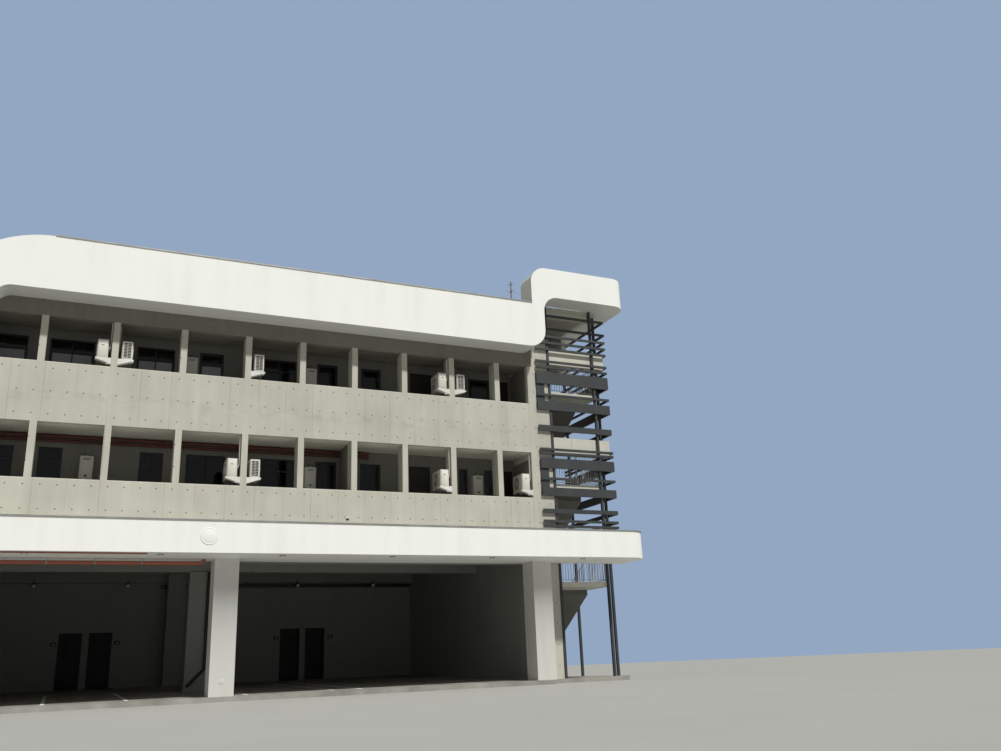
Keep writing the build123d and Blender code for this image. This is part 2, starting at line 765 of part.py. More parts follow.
def stair_steps():
    return [step for flight in flights() for step in flight_steps(*flight)]


def landing_levels(side):
    """Levels reached by the flights of one side: left flights end at the back, right ones in front."""
    return [high for low, high, risers, flight_side in flights() if flight_side == side]


def landings():
    """Front landings, each cut round the wing wall, and rear landings."""
    x = (BLOCK_RIGHT, LANDING_RIGHT)
    front = [block(x, (TOWER_POST, flight_front()), (z - LANDING, z)) - wing_wall() for z in landing_levels("right")]
    rear = [block(x, (flight_back(), tower_back()), (z - LANDING, z)) for z in landing_levels("left")]
    return front + rear


def tower_beams():
    """Concrete beams across the front of the tower at the third floor, the roof and the head of the stair."""
    y = (TOWER_POST, TOWER_POST + TOWER_BEAM)
    right = TOWER_RIGHT - LOUVRE_THICK
    beams = [block((WING_WALL_RIGHT, right), y, (level - TOWER_BEAM_DROP, level)) for level in (FLOOR_3, ROOF)]
    low = HOOD_BOTTOM - SLAB - HEAD_BEAM
    return beams + [block((WING_WALL_RIGHT, HOOD_RETURN_LEFT), y, (low, HOOD_BOTTOM - SLAB))]


def stair_head_walls():
    """Walls round the top of the stair: low on the left in front, and higher round the room at the back."""
    back = tower_back() + WALL
    left = (BLOCK_RIGHT - WALL, BLOCK_RIGHT)
    across = (BLOCK_RIGHT, HOOD_RETURN_LEFT)
    top = HEAD_TOP - SLAB
    low = HOOD_BOTTOM - SLAB
    walls = block(left, (0, HEAD_FRONT), (ROOF, low)) + block(left, (HEAD_FRONT, back), (ROOF, top))
    walls -= block(left, stair_door_y(), (ROOF, ROOF + STAIR_DOOR_HEAD))
    walls += block(across, (HEAD_FRONT, HEAD_FRONT + WALL), (low, top))
    walls += block(across, (tower_back(), back), (ROOF, top))
    right = (HOOD_RETURN_LEFT, HOOD_RETURN_LEFT + WALL)
    return walls + block(right, (HEAD_FRONT, back), (ROOF, HOOD_BOTTOM))


def stair_roofs():
    """Low roof behind the hood and higher roof of the room at the back."""
    x = (BLOCK_RIGHT - WALL, HOOD_RETURN_LEFT)
    low = block(x, (TOWER_POST, HEAD_FRONT), (HOOD_BOTTOM - SLAB, HOOD_BOTTOM))
    return [low, block(x, (HEAD_FRONT, tower_back() + WALL), (HEAD_TOP - SLAB, HEAD_TOP))]


def stair_door_y():
    """Span along Y of the doorways that lead from the rear landings into the block."""
    middle = flight_back() + LANDING_DEPTH / 2
    return middle - STAIR_DOOR / 2, middle + STAIR_DOOR / 2


def stair_doors():
    x = BLOCK_RIGHT - WALL / 2
    return [block((x - LEAF, x), stair_door_y(), (floor, floor + STAIR_DOOR_HEAD)) for floor in (FLOOR_2, FLOOR_3, ROOF)]


def balustrade(length):
    """A guard along X from the origin: bottom rail, top rail and posts, without its thin bars."""
    depth = (-BAR / 2, BAR / 2)
    panel = block((0, length), depth, (BAR_BASE, BAR_BASE + BAR))
    panel += block((0, length), depth, (BALUSTRADE - BAR, BALUSTRADE))
    count = max(1, int(length // GUARD_POST_PITCH))
    step = (length - BAR) / count
    for number in range(count + 1):
        panel += block((number * step, number * step + BAR), depth, (0, BALUSTRADE))
    return panel


def landing_balustrades():
    """Guards on the front edge and right end of the front landings, and round the open rear landings."""
    half = TOWER_POST / 2
    end = LANDING_RIGHT - GUARD_INSET
    guards = []
    for z in landing_levels("right"):
        front = TOWER_POST + BAR
        guards.append(Pos(LEFT_POST + half, front, z) * balustrade(RIGHT_POST - LEFT_POST - TOWER_POST))
        start = front + 2 * BAR
        guards.append(Pos(end, start, z) * Rot(0, 0, 90) * balustrade(flight_front() - start))
    for z in landing_levels("left")[1:]:
        rear = tower_back() - GUARD_INSET
        start = flight_back()
        guards.append(Pos(BLOCK_RIGHT, rear, z) * balustrade(end - BLOCK_RIGHT - BAR))
        guards.append(Pos(end, start, z) * Rot(0, 0, 90) * balustrade(rear - start))
    return guards


def flight_guard(low, high, risers, side, edge):
    """A sloping guard on one edge of a flight, whose posts stand on every third step."""
    foot, way, riser = flight_line(low, high, risers, side)

    def face(start, end, lows, highs):
        return make_face(Polyline((start, lows[0]), (end, lows[1]), (end, highs[1]), (start, highs[0]), close=True))

    def middle(step):
        return foot + way * (step - 0.5) * TREAD

    def rise(step, height):
        return low + (step + 0.5) * riser + height

    last = risers - 1
    posts = list(range(1, last, GUARD_STEPS)) + [last]
    ends = (middle(1), middle(last))
    panel = None
    for height in (BAR_BASE, FLIGHT_GUARD - BAR):
        lows = (rise(1, height), rise(last, height))
        rail = face(*ends, lows, (lows[0] + BAR, lows[1] + BAR))
        panel = rail if panel is None else panel + rail
    for step in posts:
        y = middle(step)
        top = rise(step, FLIGHT_GUARD - BAR / 2)
        panel += face(y - BAR / 2, y + BAR / 2, (low + step * riser,) * 2, (top,) * 2)
    left, right = flight_x(side)
    x = right - GUARD_INSET - BAR if edge == "right" else left + GUARD_INSET
    return Pos(x, 0, 0) * extrude(Plane.YZ * panel, amount=BAR, dir=(1, 0, 0))


def flight_guards():
    """Guards on both sides of the well, and on the open right edge of the right flights."""
    guards = []
    for flight in flights():
        edges = ("right",) if flight[-1] == "left" else ("left", "right")
        guards += [flight_guard(*flight, edge) for edge in edges]
    return guards


def unit_places():
    """Face that carries each air conditioner, the side of it, and the height of the unit's underside."""
    lefts = pier_lefts()
    second = [(MIDDLE_UNIT_PIER, -1), (MIDDLE_UNIT_PIER, 1), (RIGHT_UNIT_PIER, -1)]
    third = [(LEFT_UNIT_PIER, -1), (LEFT_UNIT_PIER, 1), (MIDDLE_UNIT_PIER, 1), (RIGHT_UNIT_PIER, -1),
             (RIGHT_UNIT_PIER, 1)]
    places = []
    for floor, units in ((FLOOR_2, second), (FLOOR_3, third)):
        for number, side in units:
            face = lefts[number] + (PIER if side > 0 else 0)
            places.append((face, side, floor + PARAPET + UNIT_LIFT))
    places.append((BLOCK_RIGHT - WALL, -1, FLOOR_2 + PARAPET + UNIT_LIFT))
    return places


def conditioner(face, side, z):
    near = face + side * UNIT_GAP
    x = ordered(near, near + side * UNIT_WIDTH)
    casing = block(x, (UNIT_FRONT, UNIT_FRONT + UNIT_DEPTH), (z, z + UNIT_HEIGHT))
    return chamfer(casing.edges().filter_by(Axis.Z), UNIT_CORNER)


def conditioner_bracket(face, side, z):
    """Two gusseted arms on the side of the pier, joined by two rails under the unit."""
    reach = UNIT_GAP + UNIT_WIDTH + ARM
    outline = [(face, z), (face + side * reach, z), (face + side * reach, z - ARM), (face, z - ARM_ROOT)]
    arm = Plane.XZ * make_face(Polyline(*outline, close=True))
    arm = Pos(0, ARM, 0) * extrude(arm, amount=ARM, dir=(0, -1, 0))
    bracket = arm + Pos(0, PIER - ARM, 0) * arm
    for start in (UNIT_GAP, UNIT_GAP + UNIT_WIDTH - ARM):
        x = ordered(face + side * start, face + side * (start + ARM))
        bracket += block(x, (0, UNIT_FRONT + UNIT_DEPTH), (z - ARM, z))
    return bracket


def heater(left, floor):
    """A wall-hung water heater with chamfered upright edges."""
    y = (GALLERY_DEPTH - HEATER_DEPTH, GALLERY_DEPTH)
    z = floor + HEATER_LIFT
    body = block((left, left + HEATER_WIDTH), y, (z, z + HEATER_HEIGHT))
    return chamfer(body.edges().filter_by(Axis.Z).sort_by(Axis.Y)[:2], HEATER_CORNER)


def pipe_x(start, end, radius, y, z):
    """A straight pipe along X."""
    return Pos((start + end) / 2, y, z) * Rot(0, 90, 0) * Cylinder(radius, end - start)


def main_pipe_z():
    return CANOPY_BOTTOM - MAIN_PIPE_DROP


def main_pipe_ends():
    """Span of the main pipe from the left column to the bend beside the middle column."""
    return BLOCK_LEFT + COLUMN_WIDTH, MIDDLE_COLUMN - COLUMN_WIDTH / 2 - MAIN_PIPE_END


def main_pipe():
    """Pipe under the canopy that turns up into the soffit beside the middle column."""
    start, end = main_pipe_ends()
    z = main_pipe_z()
    path = FilletPolyline((start, MAIN_PIPE_Y, z), (end, MAIN_PIPE_Y, z), (end, MAIN_PIPE_Y, CANOPY_BOTTOM),
                          radius=MAIN_PIPE_DROP - 1)
    return sweep(Plane(origin=(start, MAIN_PIPE_Y, z), z_dir=(1, 0, 0)) * Circle(MAIN_PIPE), path=path)


def gallery_pipe_places():
    """Radius, centre along Y and height of each pipe on the gallery wall of storey 2."""
    top = FLOOR_3 - BAND_DROP
    return [(radius, GALLERY_DEPTH - GALLERY_PIPE_GAP - radius, top - drop) for radius, drop in GALLERY_PIPES]


def sprinkler_pipes():
    """The main pipe, the drain line behind the fascia, and the gallery pipes on each side of the cross wall."""
    start = CANOPY_LEFT + FASCIA_SKIN + PIPE_START
    end = MIDDLE_COLUMN - COLUMN_WIDTH / 2 - DRAIN_PIPE_END
    pipes = [main_pipe(), pipe_x(start, end, DRAIN_PIPE, DRAIN_PIPE_Y, CANOPY_BOTTOM - DRAIN_PIPE)]
    cross = pier_lefts()[CROSS_WALL_PIER]
    for radius, y, z in gallery_pipe_places():
        pipes.append(pipe_x(BLOCK_LEFT + WALL, cross, radius, y, z))
        pipes.append(pipe_x(cross + CROSS_WALL, cross + CROSS_WALL + GALLERY_PIPE_PAST, radius, y, z))
    return pipes


def pipe_clips():
    """Square strap hangers of the main pipe, each on a rod from the soffit."""
    z = main_pipe_z()
    inner = MAIN_PIPE + PANE_GAP
    outer = inner + CLIP_SKIN
    start, end = main_pipe_ends()
    count = int((end - start) // CLIP_PITCH)
    clips = []
    for number in range(count):
        x = start + (number + 0.5) * CLIP_PITCH
        width = (x - CLIP_WIDTH / 2, x + CLIP_WIDTH / 2)
        strap = block(width, (MAIN_PIPE_Y - outer, MAIN_PIPE_Y + outer), (z - outer, z + outer))
        strap -= block(width, (MAIN_PIPE_Y - inner, MAIN_PIPE_Y + inner), (z - inner, z + inner))
        rod_z = (z + outer, CANOPY_BOTTOM)
        clips.append(strap + block((x - ROD / 2, x + ROD / 2), (MAIN_PIPE_Y - ROD / 2, MAIN_PIPE_Y + ROD / 2), rod_z))
    return clips


def gallery_clips():
    """Blocks that hold the gallery pipes off the wall."""
    clips = []
    for x in pier_lefts()[:CROSS_WALL_PIER]:
        middle = x + WIDE_BAY / 2
        for radius, y, z in gallery_pipe_places():
            clips.append(block((middle, middle + CLIP_WIDTH), (y + radius, GALLERY_DEPTH), (z - radius / 2, z + radius / 2)))
    return clips


def downpipe():
    """Pipe down the front of the inner column, bent aside near the floor."""
    x = MIDDLE_COLUMN + COLUMN_WIDTH / 2 - DOWNPIPE_OFFSET
    y = INNER_COLUMN_FRONT - DOWNPIPE_STAND - DOWNPIPE
    top = FLOOR_2 - SLAB - CROSS_BEAM_DROP
    bend = REAR_FLOOR + DOWNPIPE_BEND_HEIGHT
    foot = REAR_FLOOR
    path = FilletPolyline((x, y, top), (x, y, bend), (x - (bend - foot), y, foot), radius=DOWNPIPE_BEND_RADIUS)
    return sweep(Plane(origin=(x, y, top), z_dir=(0, 0, -1)) * Circle(DOWNPIPE), path=path)


def downpipe_clips():
    x = MIDDLE_COLUMN + COLUMN_WIDTH / 2 - DOWNPIPE_OFFSET
    heights = (REAR_FLOOR + 2 * DOWNPIPE_BEND_HEIGHT, CANOPY_BOTTOM - DOWNPIPE_BEND_HEIGHT)
    y = (INNER_COLUMN_FRONT - DOWNPIPE_STAND, INNER_COLUMN_FRONT)
    return [block((x - DOWNPIPE, x + DOWNPIPE), y, (z, z + CLIP_WIDTH)) for z in heights]


def canopy_downlights():
    """Nearly round rims set against the underside of the canopy."""
    rim = extrude(RegularPolygon(DOWNLIGHT_RADIUS, DOWNLIGHT_SIDES), amount=DOWNLIGHT_DEPTH)
    places = [FIRST_DOWNLIGHT + number * DOWNLIGHT_PITCH for number in range(DOWNLIGHTS)]
    return [Pos(x, DOWNLIGHT_Y, CANOPY_BOTTOM - DOWNLIGHT_DEPTH) * rim for x in places]


def garage_lamp(x):
    """A tilted round lamp on an angled stem, fixed to the front of the back beam."""
    beam = rear_beam_y()[0]
    y = beam - LAMP_DROP
    low = FLOOR_2 - SLAB - REAR_BEAM_DROP
    can = Pos(x, y, low - LAMP_DROP) * Rot(90 + LAMP_TILT, 0, 0) * Cylinder(LAMP_RADIUS, LAMP_LENGTH)
    stem = block((x - ROD, x + ROD), (y - ROD, y + ROD), (low - LAMP_DROP, low + LAMP_DROP))
    return can + stem + block((x - ROD, x + ROD), (y, beam), (low + LAMP_DROP - 2 * ROD, low + LAMP_DROP))


def wall_lamps():
    """Small lamps beside the doors and one beside the pilaster, all on the back wall."""
    width, depth, height = WALL_LAMP
    rear = BLOCK_DEPTH - WALL
    places = [(x, REAR_FLOOR + WALL_LAMP_HEIGHT) for x in WALL_LAMPS]
    places.append((EXIT_LAMP_LEFT, FLOOR_2 - SLAB - EXIT_LAMP_DROP))
    return [block((x, x + width), (rear - depth, rear), (z, z + height)) for x, z in places]


def roof_mast():
    """Slim mast on a foot plate, on the roof behind the ribbon."""
    foot = block((MAST_X - MAST_FOOT, MAST_X + MAST_FOOT), (MAST_Y - MAST_FOOT, MAST_Y + MAST_FOOT),
                 (ROOF, ROOF + MAST_FOOT_THICK))
    height = MAST_TOP - ROOF
    return foot + Pos(MAST_X, MAST_Y, ROOF + height / 2) * Cylinder(MAST_RADIUS, height)


window_places = []
for level, openings in ((FLOOR_2, GALLERY_WINDOWS_2), (FLOOR_3, GALLERY_WINDOWS_3)):
    window_places += gallery_window_places(level, openings) + rear_window_places(level) + side_window_places(level)
windows = [window(*place) for place in window_places]
units = unit_places()

nodes = {
    "ground_slab": [ground_slab()],
    "garage_floor": [garage_floor()],
    "front_columns": front_columns(),
    "inner_columns": inner_columns(),
    "garage_beams": garage_beams(),
    "cable_tray": [cable_tray()],
    "ground_side_walls": ground_side_walls(),
    "rear_ground_wall": rear_ground_wall(),
    "rear_sill_and_lintel": [rear_sill(), rear_lintel()],
    "rear_door_frames": [rear_door_frame(left) for left in REAR_DOORS],
    "upper_floors": [floor_slab(FLOOR_2), floor_slab(FLOOR_3)],
    "roof_slabs": [floor_slab(ROOF)] + stair_roofs(),
    "front_bands": [band(FLOOR_2, CANOPY_BOTTOM + CANOPY_SLAB), band(FLOOR_3, FLOOR_3 - BAND_DROP)],
    "roof_fascia": [roof_fascia()],
    "front_piers": storey_piers(FLOOR_2, FLOOR_3 - BAND_DROP) + storey_piers(FLOOR_3, ROOF_BEAM_BOTTOM),
    "gallery_soffits": gallery_soffits(),
    "gallery_walls": [gallery_wall(FLOOR_2, GALLERY_WINDOWS_2, GALLERY_DOORS_2),
                      gallery_wall(FLOOR_3, GALLERY_WINDOWS_3, GALLERY_DOORS_3)],
    "gallery_cross_wall": [gallery_cross_wall()],
    "window_frames": [frame for frame, pane in windows],
    "window_glass": [pane for frame, pane in windows],
    "gallery_doors": gallery_doors(FLOOR_2, GALLERY_DOORS_2) + gallery_doors(FLOOR_3, GALLERY_DOORS_3),
    "upper_side_walls": storey_side_walls(FLOOR_2) + storey_side_walls(FLOOR_3),
    "upper_rear_walls": [rear_upper_wall(FLOOR_2), rear_upper_wall(FLOOR_3)],
    "parapets": parapets(),
    "canopy_slab": [canopy_slab()],
    "canopy_fascia": [canopy_fascia()],
    "copings": [canopy_coping(), ribbon_coping(), parapet_coping()],
    "roof_ribbon": [roof_ribbon()],
    "hood_return": [hood_return()],
    "thin_louvres": [louvre(rise, THIN_LOUVRE) for rise in THIN_LOUVRES],
    "wide_louvres": [louvre(rise, height) for rise, height in WIDE_LOUVRES],
    "louvre_end_panels": louvre_end_panels(),
    "tower_posts": tower_posts(),
    "tower_beams": tower_beams(),
    "tower_wing_wall": [wing_wall()],
    "stair_head_walls": [stair_head_walls()],
    "stair_doors": stair_doors(),
    "stair_landings": landings(),
    "stair_waists": [stair_waist(*flight) for flight in flights()],
    "stair_steps": stair_steps(),
    "stair_guards": landing_balustrades() + flight_guards(),
    "air_conditioners": [conditioner(*place) for place in units],
    "conditioner_brackets": [conditioner_bracket(*place) for place in units],
    "wall_heaters": [heater(x, FLOOR_2) for x in HEATERS_2] + [heater(x, FLOOR_3) for x in HEATERS_3],
    "sprinkler_pipes": sprinkler_pipes(),
    "pipe_clips": pipe_clips() + gallery_clips() + downpipe_clips(),
    "downpipe": [downpipe()],
    "canopy_downlights": canopy_downlights(),
    "garage_lamps": [garage_lamp(x) for x in GARAGE_LAMPS] + wall_lamps(),
    "roof_mast": [roof_mast()],
}
for number, left in enumerate(REAR_DOORS, start=1):
    nodes[f"rear_door_{number}"] = [rear_door(left)]

os.makedirs("parts", exist_ok=True)
for name, solids in nodes.items():
    save(name, solids)
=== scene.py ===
from math import pi, radians
import bmesh
import bpy
from mathutils import Matrix, Vector


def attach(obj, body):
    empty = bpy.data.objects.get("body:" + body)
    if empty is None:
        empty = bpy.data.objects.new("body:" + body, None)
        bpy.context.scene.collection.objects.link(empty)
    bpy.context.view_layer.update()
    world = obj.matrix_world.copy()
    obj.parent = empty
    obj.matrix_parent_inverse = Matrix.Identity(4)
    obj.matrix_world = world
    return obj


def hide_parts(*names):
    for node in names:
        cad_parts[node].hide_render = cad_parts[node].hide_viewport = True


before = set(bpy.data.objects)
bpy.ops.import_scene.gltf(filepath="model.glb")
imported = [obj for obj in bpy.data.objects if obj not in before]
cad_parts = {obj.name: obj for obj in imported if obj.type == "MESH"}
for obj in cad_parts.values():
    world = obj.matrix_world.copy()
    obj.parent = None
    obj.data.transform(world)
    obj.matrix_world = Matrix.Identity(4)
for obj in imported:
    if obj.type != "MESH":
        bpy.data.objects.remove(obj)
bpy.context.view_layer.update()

# Lengths are in metres and angles in degrees

# Camera of the photograph; the lens and sensor in millimetres
CAMERA_PLACE = (-7.40, -29.6, 0.73)
CAMERA_YAW, CAMERA_PITCH, CAMERA_ROLL = 25.576, 17.555, 2.434
CAMERA_LENS, CAMERA_SENSOR = 32.77, 36

# Key light with its spread on the building and on the front columns, sky, and floor
SUN_HEIGHT, SUN_SIDE = 52, 18
SUN_SPREAD, COLUMN_SPREAD = 3, 42
SUN_STRENGTH, SKY_LIGHT = 3.4, 0.28
STUDIO_FLOOR_RADIUS = 140

# Grid of the concrete's formwork: tie holes, panel joints, the line between two pours, boards of the soffits
TIE_STEP, TIE_ROW, TIE_RADIUS = 0.459, 0.715, 0.019
TIE_START, TIE_BASE = -4.23, 5.59
PANEL, PANEL_START = 0.914, -4.00
POUR_LINE, POUR_SPREAD = 8.98, 0.30
BOARD = 0.18

# Levels and faces that the fittings are set against
FLOOR_1, FLOOR_2, FLOOR_3, ROOF = 0.15, 5.28, 8.88, 12.48
CEILINGS = {FLOOR_2: 8.21, FLOOR_3: 11.59}
BLOCK_LEFT, BLOCK_RIGHT = -11.85, 8.10
BAND_BACK, END_WALL_FACE = 0.20, 7.90
GALLERY_FACE, GALLERY_BACK, BACK_WALL = 1.54, 1.69, 13.70
GARAGE_FLOOR_FRONT, REAR_FLOOR = 0.13, 0.42
CANOPY_UNDERSIDE, CANOPY_FRONT, COLUMN_FACE = 4.13, -2.0, -0.67
SILL, HEAD = 0.90, 2.50

# Left edge and width of the windows and doors of each gallery
GALLERY_WINDOWS = {
    FLOOR_2: ((-10.90, 1.66), (-8.55, 1.33), (-5.94, 1.21), (-1.75, 1.24), (0.15, 0.76), (1.77, 0.76),
              (5.60, 0.35), (6.64, 0.34)),
    FLOOR_3: ((-10.90, 1.71), (-8.56, 1.33), (-5.94, 1.21), (-3.92, 0.80), (-1.82, 1.24), (0.15, 0.76),
              (1.79, 0.76), (6.10, 0.88))}
GALLERY_DOORS = {FLOOR_2: ((3.62, 0.82), (7.00, 0.82)), FLOOR_3: ((3.70, 0.89), (7.20, 0.60))}
GLAZED_DOOR = (-4.16, 1.25)

# Windows: the depth of their frames and sills in each wall, their sashes, and the obscured panes
GALLERY_FRAME, REAR_FRAME, SIDE_FRAME = (1.56, 1.64), (13.76, 13.84), (-11.79, -11.71)
GALLERY_SILL, REAR_SILL, SIDE_SILL = (1.515, 1.56), (13.84, 13.93), (-11.88, -11.79)
PLAIN_WINDOW, REAR_WINDOWS, SIDE_WINDOWS = 1.33, 8, 4
FRAME_BORDER, SASH, SASH_NEAR, SASH_FAR = 0.05, 0.035, 0.010, 0.033
TRANSOM, TRANSOM_INSET, WIDE_WINDOW = 1.11, 0.006, 0.9
SILL_PAST, SILL_THICK = 0.02, 0.025
FROSTED = ((FLOOR_3, -10.90), (FLOOR_3, -8.56), (FLOOR_3, -5.94), (FLOOR_3, -3.92))
FROSTED_DEPTH, FROSTED_TOP = (1.5935, 1.5938), 1.08

# Rendered panels beside two narrow windows, and a dark lining on the galleries' end wall that is painted
# shade
INFILLS = ((-7.87, -7.22), (-5.94, -5.61), (-4.88, -4.73))
SHADE_LINING_HEIGHT, SHADE_LINING_GAP = 2.70, 0.002

# Doors: faces of their leaves and borders of their casings
GALLERY_LEAF, CASING_FRONT, CASING, LEAF_STILE = 1.57, 1.545, 0.045, 0.06
REAR_DOORS, REAR_LEAF, THRESHOLD = (-7.42, -6.26, 1.70, 2.85), (13.85, 13.90), (13.78, 13.842)
REAR_HANDLE, REAR_HANDLE_HEIGHT, REAR_LOCK_HEIGHT = 0.713, 1.059, 0.96

# Stair: low and high level, risers and side of each flight, and its guards
FLIGHT_FRONT, FLIGHT_BACK, TREAD = 1.44, 3.96, 0.28
FLIGHTS = ((10.68, 12.48, 10, "left"), (8.88, 10.68, 10, "right"), (7.08, 8.88, 10, "left"),
           (5.28, 7.08, 10, "right"), (3.48, 5.28, 10, "left"), (1.68, 3.48, 10, "right"),
           (0.15, 1.68, 9, "left"))
GUARD_LINES = {"left": (9.36,), "right": (9.54, 10.71)}
LANDING_GUARDS = {"left": (((BLOCK_RIGHT, 5.28), (10.845, 5.28)), ((10.865, FLIGHT_BACK), (10.865, 5.28))),
                  "right": (((8.89, 0.11), (10.805, 0.11)), ((10.865, 0.15), (10.865, FLIGHT_FRONT)))}
GUARD_BAR, GUARD_PITCH = 0.014, 0.11
GUARD_FOOT, LANDING_RAIL, FLIGHT_RAIL = 0.07, 1.09, 0.89

# Air conditioners: face of the pier, side of it and underside of each unit; their size and fans
UNITS = ((-2.64, -1, 6.79), (-2.44, 1, 6.79), (4.68, -1, 6.79), (7.90, -1, 6.79), (-6.76, -1, 10.39),
         (-6.56, 1, 10.39), (-2.44, 1, 10.39), (4.68, -1, 10.39), (4.88, 1, 10.39))
UNIT_GAP, UNIT_WIDTH, UNIT_DEPTH, UNIT_FRONT = 0.10, 0.32, 0.80, 0.02
FAN_RADIUS, FAN_RINGS, FAN_RING_STEP, FAN_SPOKES, WIRE = 0.235, 7, 0.03, 8, 0.003
COIL_FINS, FIN_STEP = 9, 0.055

# Water heaters: left side and floor of each; their height above it and their size
HEATERS = ((-7.36, FLOOR_2), (-0.26, FLOOR_2), (6.09, FLOOR_2), (-4.40, FLOOR_3), (-0.30, FLOOR_3))
HEATER_HEIGHT, HEATER_WIDTH, HEATER_DEPTH = 1.5, 0.40, 0.22

# Lamps, and the lines of the bays
DOWNLIGHTS, DOWNLIGHT_ROW = [-8.50 + 3.49 * number for number in range(6)], -1.5
GARAGE_LAMPS, GARAGE_LAMP_PLACE, GARAGE_LAMP_TILT = (-8.58, -4.98, 2.30, 5.90), (13.29, 4.59), 115
WALL_LAMPS = ((-7.76, 2.17), (-5.32, 2.17), (1.35, 2.17), (3.84, 2.17), (-3.62, 4.46))
WALL_LAMP_FRONT = 13.60
BAY_LINES = ((-7.70, 0.3, 7.5), (-5.50, 0.3, 7.5), (-2.10, 0.3, 2.2), (0.60, 0.3, 11.0), (1.50, 0.3, 11.0))
LINE_WIDTH, LINE_THICK = 0.10, 0.003

# Mast, and the small fittings of the front
MAST, MAST_FOOT, MAST_TOP = (7.63, 0.50), ROOF + 0.012, 15.28
CROSS_RODS = ((MAST_TOP - 0.42, 0.22), (MAST_TOP - 0.12, 0.14))
PLATE_PLACE, OUTLET_PLACE = (-3.75, CANOPY_FRONT, 4.60), (0.90, 0.0, 5.52)


def srgb(code):
    """The linear colour of an sRGB hex value."""
    parts = [int(code[place:place + 2], 16) / 255 for place in (1, 3, 5)]
    return [part / 12.92 if part <= 0.04045 else ((part + 0.055) / 1.055) ** 2.4 for part in parts] + [1]


def node(tree, kind, inputs=None, **settings):
    """Adds a node with its settings, values and links."""
    made = tree.nodes.new("ShaderNode" + kind)
    for name, value in settings.items():
        setattr(made, name, value)
    for name, value in (inputs or {}).items():
        if isinstance(value, bpy.types.NodeSocket):
            tree.links.new(value, made.inputs[name])
        else:
            made.inputs[name].default_value = value
    return made


def link(tree, socket, shader, name):
    """Links a socket to the named input of the shader."""
    tree.links.new(socket, shader.inputs[name])


def blank(name, roughness, metallic=0.0):
    """A new material, its node tree, its shader and the place on the object."""
    material = bpy.data.materials.new(name)
    material.use_nodes = True
    tree = material.node_tree
    shader = tree.nodes["Principled BSDF"]
    shader.inputs["Roughness"].default_value = roughness
    shader.inputs["Metallic"].default_value = metallic
    place = node(tree, "TexCoord").outputs["Object"]
    return material, tree, shader, place


def clouds(tree, place, size, detail=4, stretch=(1, 1, 1)):
    """Soft noise whose blotches are about the given size in metres, stretched along each axis."""
    mapped = node(tree, "Mapping", {"Vector": place, "Scale": [1 / part for part in stretch]}).outputs[0]
    return node(tree, "TexNoise", {"Vector": mapped, "Scale": 1 / size, "Detail": detail}).outputs["Fac"]


def between(tree, value, low, high, start=0.0, end=1.0):
    """The value mapped from one range to another, and held at its ends."""
    return node(tree, "MapRange", {"Value": value, "From Min": low, "From Max": high,
                                   "To Min": start, "To Max": end}).outputs[0]


def tinted(tree, factor, first, second):
    """A blend of two colours, each a hex value or a socket."""
    first, second = [srgb(part) if isinstance(part, str) else part for part in (first, second)]
    return node(tree, "Mix", {0: factor, 6: first, 7: second}, data_type="RGBA").outputs[2]


def sums(tree, kind, first, second=0.0):
    """The result of one sum."""
    return node(tree, "Math", {0: first, 1: second}, operation=kind).outputs[0]


def less(tree, first, second):
    """The first value less the second."""
    return sums(tree, "SUBTRACT", first, second)


def times(tree, first, second):
    """The product of two values."""
    return sums(tree, "MULTIPLY", first, second)


def off_grid(tree, value, start, step):
    """Distance from the nearest line of an even grid."""
    return sums(tree, "PINGPONG", less(tree, value, start), step / 2)


def split(tree, vector):
    """The three parts of a vector."""
    return node(tree, "SeparateXYZ", {0: vector}).outputs


def true_normal(tree):
    """The three parts of the face's normal."""
    return split(tree, node(tree, "NewGeometry").outputs["True Normal"])


def relief(tree, shader, height, depth):
    """Bump whose full height is the given depth in metres."""
    bump = node(tree, "Bump", {"Height": height, "Distance": depth, "Strength": 1.0})
    link(tree, bump.outputs[0], shader, "Normal")


def roughened(tree, shader, texture, low, high):
    """Roughness between two values, from a texture."""
    link(tree, between(tree, texture, 0.3, 0.7, low, high), shader, "Roughness")


def textured(tree, shader, texture, low, high, depth):
    """Roughness between two values and bump of the given depth, both from one texture."""
    roughened(tree, shader, texture, low, high)
    relief(tree, shader, texture, depth)


def wall_axes(tree, place):
    """Distance along a wall, whichever way it faces, and height."""
    axes = split(tree, place)
    faces_side = sums(tree, "GREATER_THAN", sums(tree, "ABSOLUTE", true_normal(tree)[0]), 0.7)
    along = node(tree, "Mix", {0: faces_side, 2: axes[0], 3: axes[1]}).outputs[0]
    return along, axes[2]


def tie_holes(tree, along, height):
    """1 inside each round tie hole and 0 outside."""
    across = off_grid(tree, along, TIE_START, TIE_STEP)
    up = off_grid(tree, height, TIE_BASE, TIE_ROW)
    distance = sums(tree, "SQRT", sums(tree, "ADD", times(tree, across, across), times(tree, up, up)))
    return between(tree, distance, TIE_RADIUS, TIE_RADIUS + 0.006, 1, 0)


def pour_mark(tree, place, height):
    """A faint blotchy line between two pours."""
    near = between(tree, sums(tree, "ABSOLUTE", less(tree, height, POUR_LINE)), 0.04, POUR_SPREAD, 1, 0)
    return times(tree, near, between(tree, clouds(tree, place, 0.45, 5, (1, 1, 0.5)), 0.46, 0.66, 0, 0.16))


